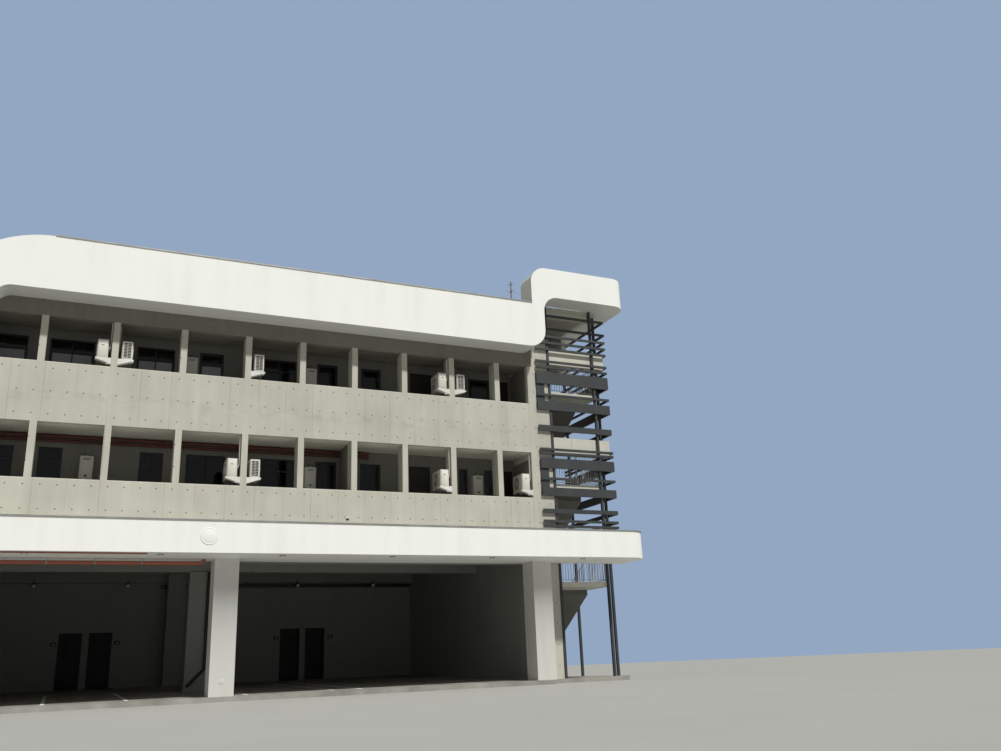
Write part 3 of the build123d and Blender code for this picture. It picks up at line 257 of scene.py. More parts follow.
def formed_concrete(name, light, dark, ties=False):
    """Fair-faced concrete from coated plywood forms: pale grey-beige, satin, with soft cloudy patches,
    darker streaks where rain runs, a fine joint every 914 mm, a blotchy line between two pours and
    plugged tie holes. The joint is really 3 mm wide and is drawn 14 mm wide so that it shows."""
    material, tree, shader, place = blank(name, 0.78)
    along, height = wall_axes(tree, place)
    patches = clouds(tree, place, 1.6, 6)
    streaks = clouds(tree, place, 0.35, 5, (1, 1, 7))
    grain = clouds(tree, place, 0.03, 3)
    panel = sums(tree, "FLOOR", sums(tree, "DIVIDE", less(tree, along, PANEL_START), PANEL))
    tone = node(tree, "TexWhiteNoise", {"W": panel}, noise_dimensions="1D").outputs[0]
    blend = sums(tree, "ADD", times(tree, patches, 0.5), times(tree, streaks, 0.35))
    blend = sums(tree, "ADD", blend, times(tree, tone, 0.05))
    base = tinted(tree, between(tree, blend, 0.32, 0.68), light, dark)
    joint = between(tree, off_grid(tree, along, PANEL_START, PANEL), 0.005, 0.012, 1, 0)
    marks = times(tree, joint, between(tree, patches, 0.4, 0.6, 0.08, 0.42))
    marks = sums(tree, "MAXIMUM", marks, pour_mark(tree, place, height))
    depth = times(tree, joint, 0.12)
    if ties:
        hole = tie_holes(tree, along, height)
        marks = sums(tree, "MAXIMUM", marks, times(tree, hole, 0.85))
        depth = sums(tree, "MAXIMUM", depth, hole)
    link(tree, tinted(tree, marks, base, "#5A574D"), shader, "Base Color")
    roughened(tree, shader, grain, 0.66, 0.86)
    relief(tree, shader, less(tree, times(tree, grain, 0.25), depth), 0.006)
    return material


def soffit_concrete():
    """Board-marked soffits of the galleries: painted light makes them pale over the second storey and painted
    shade makes them dark under the roof, with the fine lines of the boards along the front."""
    material, tree, shader, place = blank("gallery_soffit_painted_shade", 0.8)
    axes = split(tree, place)
    # Painted light and shade: soffits above 10 m take the dark shade tone, lower ones the pale lit tone
    painted_shade_height = between(tree, axes[2], 9.9, 10.1)
    patches = between(tree, clouds(tree, place, 0.9, 6, (2, 1, 1)), 0.35, 0.65)
    painted_light_tone = tinted(tree, patches, "#E2E0D6", "#CFCDC2")
    painted_shade_tone = tinted(tree, patches, "#77746A", "#65635A")
    link(tree, tinted(tree, painted_shade_height, painted_light_tone, painted_shade_tone), shader, "Base Color")
    grain = clouds(tree, place, 0.03, 3)
    roughened(tree, shader, grain, 0.7, 0.88)
    board = between(tree, sums(tree, "PINGPONG", axes[1], BOARD / 2), 0.004, 0.010, 1, 0)
    relief(tree, shader, less(tree, times(tree, grain, 0.3), board), 0.004)
    return material


def painted_render(name, light, dark, gloss=0.62, shaded_underside=None):
    """Smooth render under masonry paint: nearly even in colour, slightly uneven in the trowelled
    surface, with faint grey rain streaks, and painted shade that greys the undersides, where a shade colour
    is given."""
    material, tree, shader, place = blank(name, gloss)
    streaks = clouds(tree, place, 0.5, 5, (1, 1, 9))
    patches = clouds(tree, place, 2.4, 4)
    blend = times(tree, between(tree, streaks, 0.42, 0.8), between(tree, patches, 0.3, 0.75))
    paint = tinted(tree, blend, light, dark)
    if shaded_underside:
        # Painted shade: faces that look downwards blend to the shade colour
        paint = tinted(tree, between(tree, true_normal(tree)[2], -0.6, -0.95), paint, shaded_underside)
    link(tree, paint, shader, "Base Color")
    textured(tree, shader, clouds(tree, place, 0.12, 4), gloss - 0.08, gloss + 0.1, 0.003)
    return material


def floated_concrete(name, light, dark):
    """Power-floated floor concrete: mid grey with wide cloudy wear, tyre-darkened patches and a low sheen."""
    material, tree, shader, place = blank(name, 0.6)
    wear = clouds(tree, place, 2.2, 7)
    tracks = clouds(tree, place, 0.5, 4, (1, 6, 1))
    blend = between(tree, sums(tree, "ADD", wear, tracks), 0.75, 1.25)
    link(tree, tinted(tree, blend, light, dark), shader, "Base Color")
    roughened(tree, shader, wear, 0.42, 0.75)
    relief(tree, shader, clouds(tree, place, 0.05, 3), 0.002)
    return material


def coated_metal(name, light, dark, gloss, metallic=0.0, speck=0.012):
    """Paint or powder coat on metal: an even colour with slight dust, and the fine orange-peel surface
    of the coat, which is really about 1 mm across and is drawn coarser so that it shows."""
    material, tree, shader, place = blank(name, gloss, metallic)
    dust = clouds(tree, place, 0.6, 6, (1, 1, 3))
    link(tree, tinted(tree, between(tree, dust, 0.35, 0.75), light, dark), shader, "Base Color")
    textured(tree, shader, clouds(tree, place, speck, 2), gloss - 0.06, gloss + 0.08, 0.0006)
    return material


def clear_glass():
    """Float glass: slightly green, almost mirror smooth, with faint smears of dust that break its gloss."""
    material, tree, shader, place = blank("window_float_glass", 0.03)
    shader.inputs["Transmission Weight"].default_value = 1.0
    shader.inputs["IOR"].default_value = 1.5
    shader.inputs["Specular IOR Level"].default_value = 0.15
    smear = clouds(tree, place, 0.4, 5, (1, 1, 2))
    link(tree, tinted(tree, smear, "#565F5D", "#4A5351"), shader, "Base Color")
    link(tree, between(tree, smear, 0.4, 0.8, 0.01, 0.12), shader, "Roughness")
    relief(tree, shader, clouds(tree, place, 0.8, 1), 0.002)
    return material


def frosted_glass():
    """Obscured window glass: bluish grey, satin, with the fine rolled grain of its face drawn coarser."""
    material, tree, shader, place = blank("obscured_window_glass", 0.4)
    link(tree, tinted(tree, clouds(tree, place, 0.5, 4), "#A6A8AB", "#909396"), shader, "Base Color")
    textured(tree, shader, clouds(tree, place, 0.01, 2), 0.32, 0.5, 0.0005)
    return material


def pipe_enamel():
    """Gloss enamel on steel pipe: orange-red under the canopy, and a darker red on the gallery's pipes that
    is painted shade, with slight dust and a smooth brushed surface."""
    material, tree, shader, place = blank("orange_red_pipe_enamel", 0.38)
    # Painted shade: the gallery's pipes, above 6 m, take the darker red
    painted_shade_height = between(tree, split(tree, place)[2], 5.9, 6.0)
    dust = between(tree, clouds(tree, place, 0.5, 5, (3, 1, 1)), 0.35, 0.75)
    canopy_red = tinted(tree, dust, "#A25A44", "#854937")
    painted_shade_red = tinted(tree, dust, "#5E2416", "#481C12")
    link(tree, tinted(tree, painted_shade_height, canopy_red, painted_shade_red), shader, "Base Color")
    textured(tree, shader, clouds(tree, place, 0.02, 2), 0.32, 0.46, 0.0005)
    return material


def lamp_lens():
    """Moulded acrylic lens: milky white with a soft gloss and faint ribs of dust."""
    material, tree, shader, place = blank("opal_acrylic_lens", 0.25)
    haze = clouds(tree, place, 0.05, 3)
    link(tree, tinted(tree, haze, "#F2F0E8", "#D9D6CA"), shader, "Base Color")
    textured(tree, shader, haze, 0.18, 0.34, 0.0004)
    return material


def slab(shape, x, y, z, edge=0.0):
    """Adds a box between the low and high value on each axis, with its edges rounded by the given amount."""
    middle = [(low + high) / 2 for low, high in (x, y, z)]
    size = [high - low for low, high in (x, y, z)]
    place = Matrix.Translation(middle) @ Matrix.Diagonal((*size, 1))
    made = bmesh.ops.create_cube(shape, size=1, matrix=place)
    if edge:
        edges = list(dict.fromkeys(side for corner in made["verts"] for side in corner.link_edges))
        bmesh.ops.bevel(shape, geom=edges, offset=edge, segments=2, profile=0.5, affect="EDGES", material=-1)


def bar(shape, start, end, radius, sides=10):
    """Adds a round bar between two points."""
    start, end = Vector(start), Vector(end)
    line = end - start
    turn = line.to_track_quat("Z", "Y").to_matrix().to_4x4()
    bmesh.ops.create_cone(shape, cap_ends=True, segments=sides, radius1=radius, radius2=radius,
                          depth=line.length, matrix=Matrix.Translation((start + end) / 2) @ turn)


def pipe_run(shape, points, radius, sides=8):
    """Adds a pipe through several points with a ball at each bend."""
    for start, end in zip(points, points[1:]):
        bar(shape, start, end, radius, sides)
    for bend in points[1:-1]:
        bmesh.ops.create_uvsphere(shape, u_segments=sides, v_segments=6, radius=radius,
                                  matrix=Matrix.Translation(bend))


def turned(shape, profile, centre, axis, steps=24):
    """Adds a round form: a profile of (radius, distance) spun about an axis through a point."""
    made = bmesh.new()
    points = [made.verts.new((radius, 0, along)) for radius, along in profile]
    edges = [made.edges.new(pair) for pair in zip(points, points[1:])]
    bmesh.ops.spin(made, geom=points + edges, cent=(0, 0, 0), axis=(0, 0, 1), dvec=(0, 0, 0), angle=2 * pi,
                   steps=steps, use_merge=True)
    bmesh.ops.remove_doubles(made, verts=made.verts, dist=0.0001)
    bmesh.ops.recalc_face_normals(made, faces=made.faces)
    turn = Vector(axis).to_track_quat("Z", "Y").to_matrix().to_4x4()
    bmesh.ops.transform(made, matrix=Matrix.Translation(centre) @ turn, verts=made.verts)
    mesh = bpy.data.meshes.new("turned")
    made.to_mesh(mesh)
    made.free()
    shape.from_mesh(mesh)
    bpy.data.meshes.remove(mesh)


def disc(shape, radius, thickness, centre, axis):
    """Adds a thin round disc."""
    turned(shape, [(0, thickness), (radius, thickness), (radius, 0), (0, 0)], centre, axis, 32)


def hoop(shape, inner, outer, half, centre, axis, steps):
    """Adds a plain ring of the given radii, which reaches half its width to each side of its centre."""
    profile = [(inner, -half), (outer, -half), (outer, half), (inner, half), (inner, -half)]
    turned(shape, profile, centre, axis, steps)


def piece(name, shape, materials, body="building", stands_for=()):
    """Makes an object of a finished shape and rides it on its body."""
    mesh = bpy.data.meshes.new(name)
    shape.to_mesh(mesh)
    shape.free()
    for material in materials:
        mesh.materials.append(material)
    mesh.shade_smooth()
    mesh.set_sharp_from_angle(angle=radians(35))
    made = bpy.data.objects.new(name, mesh)
    bpy.context.scene.collection.objects.link(made)
    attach(made, body)
    if stands_for:
        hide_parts(*stands_for)
    return made


def spaced(low, high, count, width):
    """Spans of equal width in the middle of equal fields."""
    pitch = (high - low) / count
    starts = [low + pitch * (number + 0.5) - width / 2 for number in range(count)]
    return [(start, start + width) for start in starts]


def inset(span, amount):
    """The span with both ends drawn in by the given amount."""
    return span[0] + amount, span[1] - amount


def above(level, low, high):
    """A span given by two heights above a level."""
    return level + low, level + high


def ordered(first, second):
    """The span between two values in either order."""
    return min(first, second), max(first, second)


def guard_bars(material):
    """Thin upright bars of the stair's guards, between the rails that the frame of each guard has."""
    shape = bmesh.new()
    half = GUARD_BAR / 2

    def upright(x, y, z):
        slab(shape, (x - half, x + half), (y - half, y + half), z)

    for low, high, risers, side in FLIGHTS:
        landing = LANDING_GUARDS[side] if high < ROOF else ()
        for start, end in landing:
            count = round((end[0] - start[0] + end[1] - start[1]) / GUARD_PITCH)
            for number in range(1, count):
                x, y = [first + (last - first) * number / count for first, last in zip(start, end)]
                upright(x, y, above(high, GUARD_FOOT, LANDING_RAIL))
        way = 1 if side == "left" else -1
        foot = (FLIGHT_BACK if side == "left" else FLIGHT_FRONT) - way * (risers - 1) * TREAD
        riser = (high - low) / risers
        for x in GUARD_LINES[side]:
            for number in range(2 * (risers - 2) + 1):
                step = 1 + number / 2
                base = low + (step + 0.5) * riser
                upright(x, foot + way * (step - 0.5) * TREAD, above(base, GUARD_FOOT, FLIGHT_RAIL))
    piece("stair_guard_bars", shape, [material])


def window_places():
    """Spans of every window frame on the three axes."""
    places = []
    for floor, windows in GALLERY_WINDOWS.items():
        z = above(floor, SILL, HEAD)
        places += [((left, left + width), GALLERY_FRAME, z) for left, width in windows]
        places += [(x, REAR_FRAME, z) for x in spaced(BLOCK_LEFT, BLOCK_RIGHT, REAR_WINDOWS, PLAIN_WINDOW)]
        places += [(SIDE_FRAME, y, z) for y in spaced(GALLERY_BACK, BACK_WALL, SIDE_WINDOWS, PLAIN_WINDOW)]
    return places


def member(shape, along_x, run, depth, z):
    """Adds a straight piece of a window, which runs along X or along Y."""
    slab(shape, run if along_x else depth, depth if along_x else run, z)


def sash(shape, along_x, run, depth, z):
    """Adds one sliding sash: four bars round a pane."""
    member(shape, along_x, (run[0], run[0] + SASH), depth, z)
    member(shape, along_x, (run[1] - SASH, run[1]), depth, z)
    member(shape, along_x, inset(run, SASH), depth, (z[0], z[0] + SASH))
    member(shape, along_x, inset(run, SASH), depth, (z[1] - SASH, z[1]))


def window_sashes(material):
    """Two sliding sashes under a fixed top light in each wide window, and one sash in each narrow one."""
    shape = bmesh.new()
    for x, y, z in window_places():
        along_x = x[1] - x[0] > y[1] - y[0]
        run, depth = (x, y) if along_x else (y, x)
        run, z = inset(run, FRAME_BORDER), inset(z, FRAME_BORDER)
        front = above(depth[0], SASH_NEAR, SASH_FAR)
        back = above(depth[1], -SASH_FAR, -SASH_NEAR)
        if run[1] - run[0] < WIDE_WINDOW:
            sash(shape, along_x, run, front, z)
            continue
        transom, middle = z[0] + TRANSOM, (run[0] + run[1]) / 2
        mullion = (middle - SASH / 2, middle + SASH / 2)
        sash(shape, along_x, (run[0], mullion[1]), front, (z[0], transom))
        sash(shape, along_x, (mullion[0], run[1]), back, (z[0], transom))
        member(shape, along_x, mullion, inset(depth, TRANSOM_INSET), (transom + SASH, z[1]))
        member(shape, along_x, run, inset(depth, TRANSOM_INSET), (transom, transom + SASH))
    piece("window_sashes", shape, [material])


def wall_infills(material):
    """Rendered panels that close the sides of two openings of the second storey's gallery, and a dark
    sheet inside each gallery's right end wall, which is painted shade."""
    shape = bmesh.new()
    # Painted shade: a thin dark sheet over the end wall's concrete
    for floor in (FLOOR_2, FLOOR_3):
        slab(shape, above(END_WALL_FACE, -0.004, -0.0005), inset((BAND_BACK, GALLERY_FACE), SHADE_LINING_GAP),
             above(floor, SHADE_LINING_GAP, SHADE_LINING_HEIGHT))
    for x in INFILLS:
        slab(shape, x, (GALLERY_FACE, GALLERY_FRAME[0]), above(FLOOR_2, SILL, HEAD))
    piece("gallery_wall_infills_and_shade_linings", shape, [material])


def frosted_panes(material):
    """Obscured lower panes of some gallery windows, just in front of the clear glass."""
    shape = bmesh.new()
    for floor, place in FROSTED:
        width = dict(GALLERY_WINDOWS[floor])[place]
        x = inset((place, place + width), FRAME_BORDER + SASH)
        slab(shape, x, FROSTED_DEPTH, above(floor + SILL + FRAME_BORDER, SASH, FROSTED_TOP))
    piece("frosted_panes", shape, [material])


def window_sills(material):
    """Thin level sills under the windows, which stand proud of the wall."""
    shape = bmesh.new()
    for x, y, z in window_places():
        if y == GALLERY_FRAME:
            x, y = inset(x, -SILL_PAST), GALLERY_SILL
        elif y == REAR_FRAME:
            x, y = inset(x, -SILL_PAST), REAR_SILL
        else:
            x, y = SIDE_SILL, inset(y, -SILL_PAST)
        slab(shape, x, y, (z[0] - SILL_THICK, z[0]), 0.004)
    piece("window_sills", shape, [material])


def lever(shape, x, y, z, reach):
    """Adds a lever handle in front of a door: round rose, stem and a lever that points along X."""
    turned(shape, [(0, 0), (0.026, 0), (0.026, 0.006), (0.010, 0.009), (0.010, reach), (0, reach)], (x, y, z),
           (0, -1, 0), 16)
    front = y - (reach - 0.008)
    bar(shape, (x - 0.005, front, z), (x + 0.12, front, z), 0.008)


def gallery_door_parts(paint, steel):
    """Frames, pressed fields, kick plates and levers of the gallery doors."""
    panels, metal = bmesh.new(), bmesh.new()
    casing = (CASING_FRONT, GALLERY_LEAF)
    for floor, doors in GALLERY_DOORS.items():
        for left, width in doors:
            door, head = (left, left + width), floor + HEAD
            clear = inset(door, CASING)
            for x in ((door[0], clear[0]), (clear[1], door[1])):
                slab(panels, x, casing, (floor, head), 0.004)
            slab(panels, clear, casing, (head - CASING, head), 0.004)
            slab(panels, clear, (1.55, GALLERY_LEAF), above(floor, 2.08, 2.12), 0.004)
            for low, high in ((1.18, 1.98), (0.30, 0.92)):
                slab(panels, inset(door, 0.14), (1.562, GALLERY_LEAF), above(floor, low, high), 0.004)
            slab(metal, inset(door, LEAF_STILE), (1.566, GALLERY_LEAF), above(floor, 0.03, 0.20), 0.001)
            lever(metal, left + 0.09, GALLERY_LEAF, floor + 1.05, 0.05)
    piece("gallery_door_panels", panels, [paint])
    piece("gallery_door_furniture", metal, [steel])


def glazed_door(frame_metal, glass):
    """Sliding glazed door of the second storey: two framed panes in front of its dark leaf."""
    frame_shape, panes = bmesh.new(), bmesh.new()
    left, width = GLAZED_DOOR
    middle = left + width / 2
    bottom, top = inset((FLOOR_2, FLOOR_2 + HEAD), 0.02)
    leaves = (((left + 0.02, middle + 0.03), (CASING_FRONT, GALLERY_LEAF)),
              ((middle - 0.03, left + width - 0.02), (1.556, GALLERY_LEAF)))
    for run, depth in leaves:
        inside = inset(run, LEAF_STILE)
        for x in ((run[0], inside[0]), (inside[1], run[1])):
            slab(frame_shape, x, depth, (bottom, top), 0.003)
        for rail in (above(bottom, 0, 0.10), above(bottom, 1.05, 1.10), (top - LEAF_STILE, top)):
            slab(frame_shape, inside, depth, rail, 0.003)
        for light in (above(bottom, 0.10, 1.05), (bottom + 1.10, top - LEAF_STILE)):
            slab(panes, inside, (1.562, 1.568), light)
    piece("glazed_door_frame", frame_shape, [frame_metal])
    piece("glazed_door_panes", panes, [glass])


def fan_guard(shape, centre, way):
    """Adds a fan guard: rings and spokes of round wire in front of a dark opening, in a turned rim."""
    x, y, z = centre
    for number in range(1, FAN_RINGS + 1):
        radius = FAN_RING_STEP * number
        turned(shape, [(radius - WIRE, 0.010), (radius, 0.010 - WIRE), (radius + WIRE, 0.010),
                       (radius, 0.010 + WIRE), (radius - WIRE, 0.010)], centre, (way, 0, 0), 24)
    for number in range(FAN_SPOKES):
        turn = Matrix.Rotation(number * 2 * pi / FAN_SPOKES, 4, "X")
        tip = turn @ Vector((0, FAN_RADIUS, 0))
        front = x + way * 0.012
        bar(shape, (front, y, z), (front, y + tip.y, z + tip.z), WIRE, 6)
    turned(shape, [(FAN_RADIUS, 0.0), (0.250, 0.004), (0.250, 0.016), (0.240, 0.018), (FAN_RADIUS, 0.016),
                   (FAN_RADIUS, 0.0)], centre, (way, 0, 0), 32)


def slotted_end(shape, x, front, z):
    """Adds the end panel of a unit with two columns of air slots pressed into it."""
    made = bmesh.ops.create_grid(shape, x_segments=2, y_segments=10, size=0.5)
    verts = made["verts"]
    turn = Matrix.Rotation(pi / 2, 4, "X")
    size = Matrix.Diagonal((x[1] - x[0], z[1] - z[0], 1, 1))
    place = Matrix.Translation(((x[0] + x[1]) / 2, front, (z[0] + z[1]) / 2))
    bmesh.ops.transform(shape, matrix=place @ turn @ size, verts=verts)
    faces = list(dict.fromkeys(face for vert in verts for face in vert.link_faces))
    bmesh.ops.inset_individual(shape, faces=faces, thickness=0.006, depth=-0.005, use_even_offset=True)
    for face in faces:
        face.material_index = 1


def unit_coil(fins, hollows, near, side, z):
    """Adds the dark coil on the side towards the pier and the level fins in front of it."""
    y = (UNIT_FRONT, UNIT_FRONT + UNIT_DEPTH)
    slab(hollows, ordered(near - side * 0.004, near), inset(y, 0.06), above(z, 0.05, 0.55))
    for number in range(COIL_FINS):
        level = z + 0.075 + FIN_STEP * number
        slab(fins, ordered(near - side * 0.009, near - side * 0.003), inset(y, 0.05), (level, level + 0.006))


def unit_slots(covers, x, z):
    """Adds the slotted end of a unit in a raised border."""
    inner, depth = inset(x, 0.045), (UNIT_FRONT - 0.011, UNIT_FRONT)
    slotted_end(covers, inner, depth[0], above(z, 0.05, 0.55))
    slab(covers, (x[0] + 0.026, inner[0]), depth, above(z, 0.035, 0.565))
    slab(covers, (inner[1], x[1] - 0.026), depth, above(z, 0.035, 0.565))
    slab(covers, inner, depth, above(z, 0.035, 0.050))
    slab(covers, inner, depth, above(z, 0.550, 0.565))


def unit_grip(covers, hollows, x, z):
    """Adds the plain end of a unit, with a grip under a small lip."""
    slab(covers, inset(x, 0.030), above(UNIT_FRONT, -0.010, 0), above(z, 0.03, 0.57), 0.004)
    slab(hollows, above(x[0], 0.11, 0.19), above(UNIT_FRONT, -0.0115, -0.0105), above(z, 0.40, 0.425))
    slab(covers, above(x[0], 0.10, 0.20), above(UNIT_FRONT, -0.014, -0.010), above(z, 0.425, 0.435), 0.001)


def unit_pipes(pipes, face, near, side, z):
    """Adds the two lagged pipes that run from a unit to its pier and up to the gallery's ceiling."""
    rise = face + side * 0.035
    ceiling = CEILINGS[FLOOR_2 if z < FLOOR_3 else FLOOR_3] - 0.001
    back = UNIT_FRONT + UNIT_DEPTH
    for offset, radius in ((0.0, 0.016), (0.045, 0.012)):
        level = z + 0.33 - 1.2 * offset
        if side < 0:
            y = 0.12 + offset
            route = [(near + side * 0.04, UNIT_FRONT + 0.10 + offset, level), (near - side * 0.02, y, level),
                     (rise, y, level + 0.10)]
        else:
            y, out = 0.38 + offset, near + side * 0.06
            route = [(out, back - 0.02, level), (out, back + 0.02, level),
                     (near - side * 0.03, back + 0.02, level), (rise, y, level + 0.06)]
        pipe_run(pipes, route + [(rise, y, ceiling)], radius)


def unit_parts(coat, dark, fan, lagging):
    """Fittings of the air conditioners: fan guards, coils, slotted or plain ends, lagged pipes and feet."""
    covers, guards, hollows, pipes = bmesh.new(), bmesh.new(), bmesh.new(), bmesh.new()
    for face, side, z in UNITS:
        near, far = face + side * UNIT_GAP, face + side * (UNIT_GAP + UNIT_WIDTH)
        x = ordered(near, far)
        hub = (far, UNIT_FRONT + (0.46 if side < 0 else 0.34), z + 0.30)
        disc(hollows, FAN_RADIUS, 0.001, hub, (side, 0, 0))
        fan_guard(guards, hub, side)
        unit_coil(guards, hollows, near, side, z)
        if side > 0:
            unit_slots(covers, x, z)
        else:
            unit_grip(covers, hollows, x, z)
        unit_pipes(pipes, face, near, side, z)
        for y in (UNIT_FRONT + 0.10, UNIT_FRONT + UNIT_DEPTH - 0.14):
            slab(covers, inset(x, -0.012), (y, y + 0.04), above(z, 0.0005, 0.018), 0.003)
    piece("unit_covers", covers, [coat, dark])
    piece("unit_fan_guards", guards, [coat])
    piece("unit_fan_openings", hollows, [fan])
    piece("unit_refrigerant_pipes", pipes, [lagging])


def heater_parts(coat, dark, steel):
    """Fittings of the water heaters: covers, air slots, a round knob, the flue and three pipes below."""
    covers, slots, pipes = bmesh.new(), bmesh.new(), bmesh.new()
    front = GALLERY_FACE - HEATER_DEPTH
    for left, floor in HEATERS:
        z, middle = floor + HEATER_HEIGHT, left + HEATER_WIDTH / 2
        casing = (left, left + HEATER_WIDTH)
        slab(covers, inset(casing, 0.03), (front - 0.006, front), above(z, 0.03, 0.70), 0.003)
        for number in range(4):
            low = z + 0.60 + 0.02 * number
            slab(slots, inset(casing, 0.09), above(front, -0.008, -0.0055), (low, low + 0.008))
        turned(slots, [(0, 0), (0.034, 0), (0.034, 0.006), (0.026, 0.010), (0.023, 0.028), (0, 0.030)],
               (middle, front - 0.006, z + 0.10), (0, -1, 0), 20)
        turned(pipes, [(0.055, 0), (0.055, 0.09), (0.048, 0.10), (0.048, 0.0), (0.055, 0)],
               (middle, GALLERY_FACE - HEATER_DEPTH / 2, z + 0.73), (0, 0, 1), 20)
        for number, drop in enumerate((0.28, 0.36, 0.28)):
            x, y = left + 0.09 + 0.11 * number, GALLERY_FACE - 0.10
            pipe_run(pipes, [(x, y, z), (x, y, z - drop), (x, GALLERY_FACE - 0.001, z - drop)], 0.010)
    piece("heater_covers", covers, [coat])
    piece("heater_slots_and_knobs", slots, [dark])
    piece("heater_pipes", pipes, [steel])


def downlights(coat, lens):
    """Canopy downlights: a turned rim round a domed frosted lens."""
    rims, lenses = bmesh.new(), bmesh.new()
    for x in DOWNLIGHTS:
        place = (x, DOWNLIGHT_ROW, CANOPY_UNDERSIDE)
        turned(rims, [(0.078, 0.0), (0.098, 0.0), (0.100, 0.004), (0.094, 0.013), (0.084, 0.015),
                      (0.076, 0.004), (0.078, 0.0)], place, (0, 0, -1), 32)
        turned(lenses, [(0, 0.024), (0.030, 0.022), (0.055, 0.016), (0.072, 0.006), (0.077, 0.001),
                        (0, 0.0005)], place, (0, 0, -1), 32)
    piece("canopy_downlight_rims", rims, [coat], stands_for=("canopy_downlights",))
    piece("canopy_downlight_lenses", lenses, [lens])


def garage_lamp_parts(coat, lens):
    """Rims, cooling fins and lenses of the tilted garage lamps, and the covers of the small wall lamps."""
    rims, lenses = bmesh.new(), bmesh.new()
    aim = Matrix.Rotation(radians(GARAGE_LAMP_TILT), 4, "X") @ Vector((0, 0, 1))
    for x in GARAGE_LAMPS:
        centre = Vector((x, *GARAGE_LAMP_PLACE))
        mouth = centre + aim * 0.075
        turned(rims, [(0.070, -0.012), (0.086, -0.012), (0.095, -0.004), (0.095, 0.012), (0.088, 0.016),
                      (0.080, 0.012), (0.078, 0.002), (0.070, 0.001), (0.070, -0.012)], mouth, aim, 32)
        turned(lenses, [(0, 0.007), (0.040, 0.006), (0.079, 0.002), (0, 0.0005)], mouth, aim, 32)
        for number in range(3):
            hoop(rims, 0.080, 0.092, 0.004, centre - aim * (0.02 + 0.025 * number), aim, 24)
    for x, z in WALL_LAMPS:
        slab(rims, above(x, 0.012, 0.208), above(WALL_LAMP_FRONT, -0.006, 0), above(z, 0.012, 0.138), 0.002)
        slab(lenses, above(x, 0.075, 0.145), above(WALL_LAMP_FRONT, -0.009, -0.006), above(z, 0.045, 0.085),
             0.001)
    piece("garage_lamp_rims", rims, [coat])
    piece("garage_lamp_lenses", lenses, [lens])


def bay_lines(paint):
    """White parking lines on the garage floor, laid on its slope."""
    shape = bmesh.new()
    slope = (REAR_FLOOR - FLOOR_1) / (BACK_WALL - GARAGE_FLOOR_FRONT)
    for x, front, back in BAY_LINES:
        slab(shape, (x - LINE_WIDTH / 2, x + LINE_WIDTH / 2), (front, back), (0, LINE_THICK))
    for vert in shape.verts:
        vert.co.z += FLOOR_1 + slope * (vert.co.y - GARAGE_FLOOR_FRONT)
    piece("bay_lines", shape, [paint])


def proud(thickness):
    """Spans of a fitting of the given thickness on the two faces of a back door."""
    return (REAR_LEAF[0] - thickness, REAR_LEAF[0]), (REAR_LEAF[1], REAR_LEAF[1] + thickness)


def rear_door_fittings(paint, steel):
    """Pressed fields, kick plates, handle roses and lock rings on both faces of the garage's back doors,
    each riding on its own door."""
    for number, left in enumerate(REAR_DOORS, start=1):
        panels, metal = bmesh.new(), bmesh.new()
        for y in proud(0.006):
            for low, high in ((0.35, 0.95), (1.20, 2.00)):
                slab(panels, above(left, 0.15, 0.65), y, above(REAR_FLOOR, low, high), 0.003)
        for y in proud(0.003):
            slab(metal, above(left, 0.06, 0.74), y, above(REAR_FLOOR, 0.04, 0.24), 0.001)
        x = left + REAR_HANDLE
        for y, way in zip(REAR_LEAF, (-1, 1)):
            turned(metal, [(0.012, 0), (0.028, 0), (0.028, 0.006), (0.014, 0.010), (0.012, 0.010),
                           (0.012, 0)], (x, y, REAR_FLOOR + REAR_HANDLE_HEIGHT), (0, way, 0), 20)
            turned(metal, [(0, 0), (0.020, 0), (0.020, 0.005), (0.008, 0.007), (0, 0.007)],
                   (x, y, REAR_FLOOR + REAR_LOCK_HEIGHT), (0, way, 0), 20)
        piece(f"rear_door_{number}_fields", panels, [paint], f"rear_door_{number}")
        piece(f"rear_door_{number}_furniture", metal, [steel], f"rear_door_{number}")


def thresholds(metal):
    """Low thresholds inside the garage's back doors, which keep daylight from showing under the leaves."""
    shape = bmesh.new()
    for left in REAR_DOORS:
        slab(shape, above(left, 0.025, 0.775), THRESHOLD, above(REAR_FLOOR, 0, 0.024), 0.004)
    piece("rear_door_thresholds", shape, [metal])


def mast_fittings(steel, coat):
    """Fittings of the roof mast: gussets and bolts on its foot, collars, thin cross rods, and a small
    junction box beside it."""
    shape, box_shape = bmesh.new(), bmesh.new()
    x, y = MAST
    for turn in range(4):
        way = Matrix.Rotation(turn * pi / 2, 4, "Z") @ Vector((1, 0, 0))
        bar(shape, (x + way.x * 0.13, y + way.y * 0.13, MAST_FOOT),
            (x + way.x * 0.02, y + way.y * 0.02, MAST_FOOT + 0.20), 0.008)
        bolt = (x + way.x * 0.11 - way.y * 0.06, y + way.y * 0.11 + way.x * 0.06, MAST_FOOT + 0.006)
        bmesh.ops.create_cone(shape, cap_ends=True, segments=6, radius1=0.014, radius2=0.014, depth=0.012,
                              matrix=Matrix.Translation(bolt))
    for z in (MAST_FOOT + 1.0, MAST_FOOT + 1.9, *(level for level, reach in CROSS_RODS)):
        hoop(shape, 0.025, 0.034, 0.02, (x, y, z), (0, 0, 1), 16)
    for z, reach in CROSS_RODS:
        bar(shape, (x - reach, y, z), (x + reach, y, z), 0.008)
        bar(shape, (x, y - reach, z), (x, y + reach, z), 0.008)
    slab(box_shape, above(x, -0.42, -0.18), above(y, -0.08, 0.08), above(ROOF, 0, 0.34), 0.008)
    slab(box_shape, above(x, -0.40, -0.20), above(y, -0.088, -0.08), above(ROOF, 0.03, 0.31), 0.003)
    bar(box_shape, (x - 0.18, y, ROOF + 0.10), (x - 0.02, y, ROOF + 0.10), 0.012)
    piece("mast_fittings", shape, [steel])
    piece("mast_junction_box", box_shape, [coat])


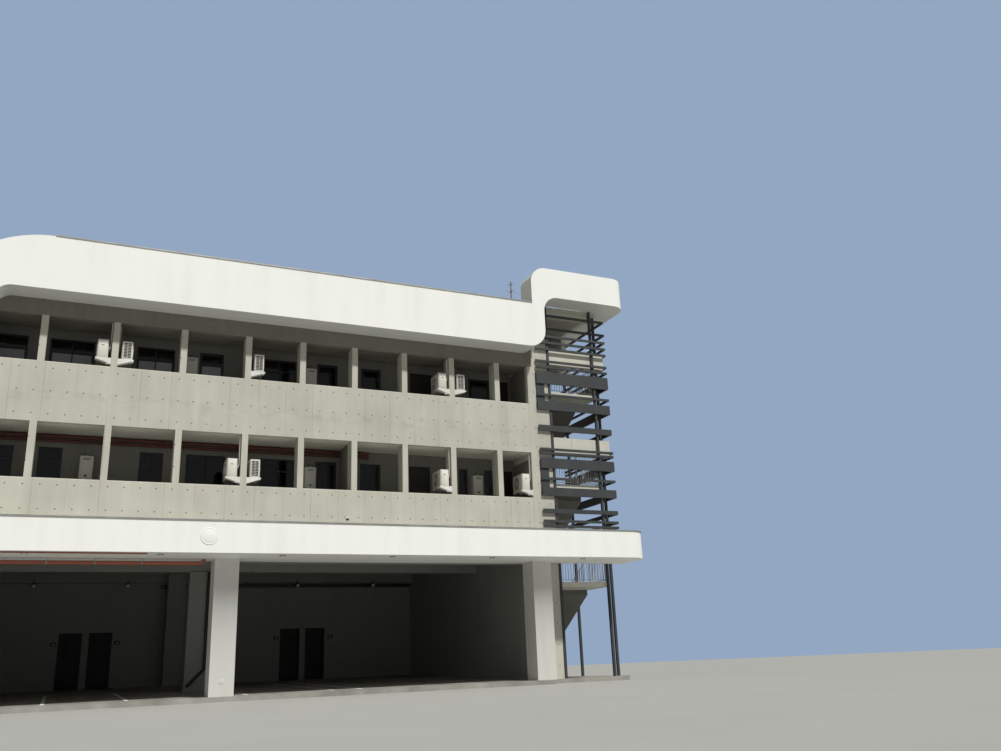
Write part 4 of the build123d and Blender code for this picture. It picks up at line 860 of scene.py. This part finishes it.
def small_fittings(metal, paint, column_coat, dark):
    """A plain round plate in the middle of the canopy's front, a round outlet on the lower band, and a
    cover plate on the middle column."""
    plate, rim, hole, cover = bmesh.new(), bmesh.new(), bmesh.new(), bmesh.new()
    turned(plate, [(0, 0.014), (0.205, 0.014), (0.215, 0.010), (0.222, 0.016), (0.240, 0.016), (0.250, 0.008),
                   (0.250, 0), (0, 0)], PLATE_PLACE, (0, -1, 0), 64)
    turned(rim, [(0.040, 0), (0.062, 0), (0.062, 0.008), (0.050, 0.014), (0.042, 0.012), (0.040, 0)],
           OUTLET_PLACE, (0, -1, 0), 32)
    disc(hole, 0.040, 0.002, OUTLET_PLACE, (0, -1, 0))
    slab(cover, (-3.09, -2.95), above(COLUMN_FACE, -0.006, 0), (0.50, 0.64), 0.003)
    for x in (-3.075, -2.965):
        bar(cover, (x, COLUMN_FACE - 0.009, 0.57), (x, COLUMN_FACE - 0.006, 0.57), 0.006, 8)
    piece("canopy_round_plate", plate, [paint])
    piece("column_cover_plate", cover, [column_coat])
    piece("wall_outlet", rim, [metal])
    piece("wall_outlet_hole", hole, [dark])


def dress(material, *names):
    """Gives the named CAD nodes a material."""
    for name in names:
        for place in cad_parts[name].material_slots:
            place.material = material


def photo_camera():
    """The camera that the photograph was fitted to."""
    data = bpy.data.cameras.new("photo_camera")
    data.sensor_fit = "HORIZONTAL"
    data.sensor_width = CAMERA_SENSOR
    data.lens = CAMERA_LENS
    camera = bpy.data.objects.new("photo_camera", data)
    yaw = Matrix.Rotation(radians(-CAMERA_YAW), 4, "Z")
    pitch = Matrix.Rotation(radians(90 + CAMERA_PITCH), 4, "X")
    roll = Matrix.Rotation(radians(-CAMERA_ROLL), 4, "Z")
    camera.matrix_world = Matrix.Translation(CAMERA_PLACE) @ yaw @ pitch @ roll
    bpy.context.scene.collection.objects.link(camera)
    bpy.context.scene.camera = camera


def key_light(name, spread, on_columns):
    """A key light from in front, of the given spread in degrees, either on the front columns alone or
    on all the rest."""
    data = bpy.data.lights.new(name, "SUN")
    data.energy = SUN_STRENGTH
    data.angle = radians(spread)
    data.color = srgb("#FFFEFA")[:3]
    sun = bpy.data.objects.new(name, data)
    turn = Matrix.Rotation(radians(SUN_SIDE), 4, "Z")
    sun.matrix_world = turn @ Matrix.Rotation(radians(90 - SUN_HEIGHT), 4, "X")
    bpy.context.scene.collection.objects.link(sun)
    columns = bpy.data.collections.new(name + "_columns")
    columns.objects.link(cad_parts["front_columns"])
    columns.collection_objects[0].light_linking.link_state = "INCLUDE" if on_columns else "EXCLUDE"
    sun.light_linking.receiver_collection = columns


def studio_light():
    """The key light, spread wide on the columns so that the canopy's shade fades down them, and a sky
    that looks blue and lights evenly."""
    key_light("key_light", SUN_SPREAD, False)
    key_light("column_key_light", COLUMN_SPREAD, True)
    world = bpy.data.worlds.new("studio_sky")
    bpy.context.scene.world = world
    world.use_nodes = True
    tree = world.node_tree
    seen = node(tree, "Background", {"Color": srgb("#93A7C2"), "Strength": 1.0})
    lights = node(tree, "Background", {"Color": srgb("#DADCDE"), "Strength": SKY_LIGHT})
    camera_ray = node(tree, "LightPath").outputs["Is Camera Ray"]
    both = node(tree, "MixShader", {0: camera_ray, 1: lights.outputs[0], 2: seen.outputs[0]})
    tree.links.new(both.outputs[0], tree.nodes["World Output"].inputs["Surface"])


def studio_floor():
    """A wide pale floor under the building."""
    shape = bmesh.new()
    bmesh.ops.create_circle(shape, cap_ends=True, segments=96, radius=STUDIO_FLOOR_RADIUS)
    mesh = bpy.data.meshes.new("studio_floor")
    shape.to_mesh(mesh)
    shape.free()
    made = bpy.data.objects.new("studio_floor", mesh)
    bpy.context.scene.collection.objects.link(made)
    material, tree, shader, place = blank("pale_floor", 0.8)
    link(tree, tinted(tree, clouds(tree, place, 3.0), "#B1B1AD", "#A9A9A5"), shader, "Base Color")
    mesh.materials.append(material)


photo_camera()
studio_light()
studio_floor()
bpy.context.scene.view_settings.view_transform = "Standard"

concrete = formed_concrete("fair_faced_concrete", "#C2C0B4", "#A9A79C", ties=True)
# The roof fascia's concrete is a darker copy of the concrete: painted shade under the ribbon
shaded_fascia_concrete = formed_concrete("shaded_beam_concrete", "#7E7B70", "#6F6C62", ties=True)
# A lighter copy of the concrete: painted light on the tower's beams and landings, which the louvres shade
lit_stair_concrete = formed_concrete("lit_stair_concrete", "#CDCBBF", "#BBB9AD")
slab_concrete = formed_concrete("slab_concrete", "#BAB8AC", "#A5A398")
# A dark copy of the concrete for the flights' undersides and steps: painted shade
shaded_waist_concrete = formed_concrete("stair_soffit_shade_concrete", "#6E6D66", "#5C5B55")
# The ribbon's undersides get painted shade
ribbon_paint = painted_render("ribbon_white_masonry_paint", "#F2F3EE", "#E6E6E0", shaded_underside="#CDCEC9")
fascia_paint = painted_render("fascia_white_masonry_paint", "#F2F3EE", "#E2E2DB")
column_paint = painted_render("column_white_emulsion", "#CECEC9", "#BDBDB7", 0.7)
wall_paint = painted_render("garage_grey_emulsion", "#969692", "#868682", 0.75)
gallery_paint = painted_render("gallery_grey_render", "#75746D", "#62615A", 0.8)
garage_screed = floated_concrete("floated_floor_concrete", "#A3A19A", "#85837C")
louvre_coat = coated_metal("anthracite_powder_coat", "#3C3F41", "#313436", 0.5)
frame_metal = coated_metal("dark_anodised_aluminium", "#3A3C3E", "#2C2E30", 0.35, 0.6)
door_paint = coated_metal("dark_door_enamel", "#1C1B1A", "#151413", 0.55)
casing_coat = coated_metal("ivory_powder_coat", "#DEDCD3", "#C6C3B7", 0.45)
bracket_paint = coated_metal("white_bracket_enamel", "#E4E4E0", "#C8C7C0", 0.4)
coping_metal = coated_metal("folded_aluminium_sheet", "#B9BAB8", "#95968F", 0.38, 0.7)
pipe_paint = pipe_enamel()
black_plastic = coated_metal("black_pvc", "#1B1C1D", "#2A2B2B", 0.45)
lamp_coat = coated_metal("dark_lamp_coat", "#2C2D2E", "#3B3C3C", 0.4)
zinc = coated_metal("galvanised_steel", "#9A9D9E", "#7E8182", 0.42, 0.8, 0.03)
glass = clear_glass()
frosted = frosted_glass()
lens = lamp_lens()
line_paint = painted_render("white_road_paint", "#F2F1EC", "#D8D6CE", 0.6)
guard_coat = coated_metal("pale_grey_guard_enamel", "#A9ABA9", "#8C8E8C", 0.4)
lagging = coated_metal("white_pipe_lagging", "#DCDBD5", "#BDBBB2", 0.7)
brushed_steel = coated_metal("brushed_stainless_steel", "#B8B8B4", "#9A9A96", 0.3, 1.0)
worn_kick_steel = coated_metal("dark_oxidised_kick_steel", "#34332F", "#262521", 0.5, 0.8)
fan_plastic = coated_metal("moulded_grey_fan_plastic", "#6E6F6C", "#595A58", 0.55)
dark_opening = coated_metal("shaded_opening_paint", "#131415", "#1D1E1F", 0.6)

dress(shaded_fascia_concrete, "roof_fascia")
dress(concrete, "front_bands", "front_piers", "upper_side_walls", "upper_rear_walls", "parapets",
      "tower_wing_wall")
dress(soffit_concrete(), "gallery_soffits")
dress(lit_stair_concrete, "tower_beams", "stair_landings")
dress(slab_concrete, "upper_floors", "roof_slabs")
dress(shaded_waist_concrete, "stair_waists", "stair_steps")
dress(ribbon_paint, "roof_ribbon", "hood_return")
dress(fascia_paint, "canopy_fascia", "canopy_slab", "stair_head_walls")
dress(column_paint, "front_columns")
dress(wall_paint, "inner_columns", "garage_beams", "ground_side_walls", "rear_ground_wall",
      "rear_sill_and_lintel")
dress(gallery_paint, "gallery_walls", "gallery_cross_wall")
dress(garage_screed, "ground_slab", "garage_floor")
dress(louvre_coat, "thin_louvres", "wide_louvres", "louvre_end_panels", "tower_posts")
dress(guard_coat, "stair_guards")
dress(frame_metal, "window_frames")
dress(door_paint, "gallery_doors", "stair_doors", "rear_door_frames", "rear_door_1", "rear_door_2",
      "rear_door_3", "rear_door_4")
dress(casing_coat, "air_conditioners", "wall_heaters")
dress(bracket_paint, "conditioner_brackets")
dress(coping_metal, "copings")
dress(pipe_paint, "sprinkler_pipes")
dress(black_plastic, "downpipe")
dress(lamp_coat, "canopy_downlights", "garage_lamps", "cable_tray")
dress(zinc, "pipe_clips", "roof_mast")
dress(glass, "window_glass")

guard_bars(guard_coat)
window_sashes(frame_metal)
frosted_panes(frosted)
wall_infills(gallery_paint)
window_sills(coping_metal)
gallery_door_parts(door_paint, brushed_steel)
glazed_door(frame_metal, glass)
unit_parts(casing_coat, dark_opening, fan_plastic, lagging)
heater_parts(casing_coat, dark_opening, zinc)
downlights(lamp_coat, lens)
garage_lamp_parts(lamp_coat, lens)
bay_lines(line_paint)
rear_door_fittings(door_paint, worn_kick_steel)
thresholds(worn_kick_steel)
mast_fittings(zinc, casing_coat)
small_fittings(coping_metal, fascia_paint, column_paint, dark_opening)
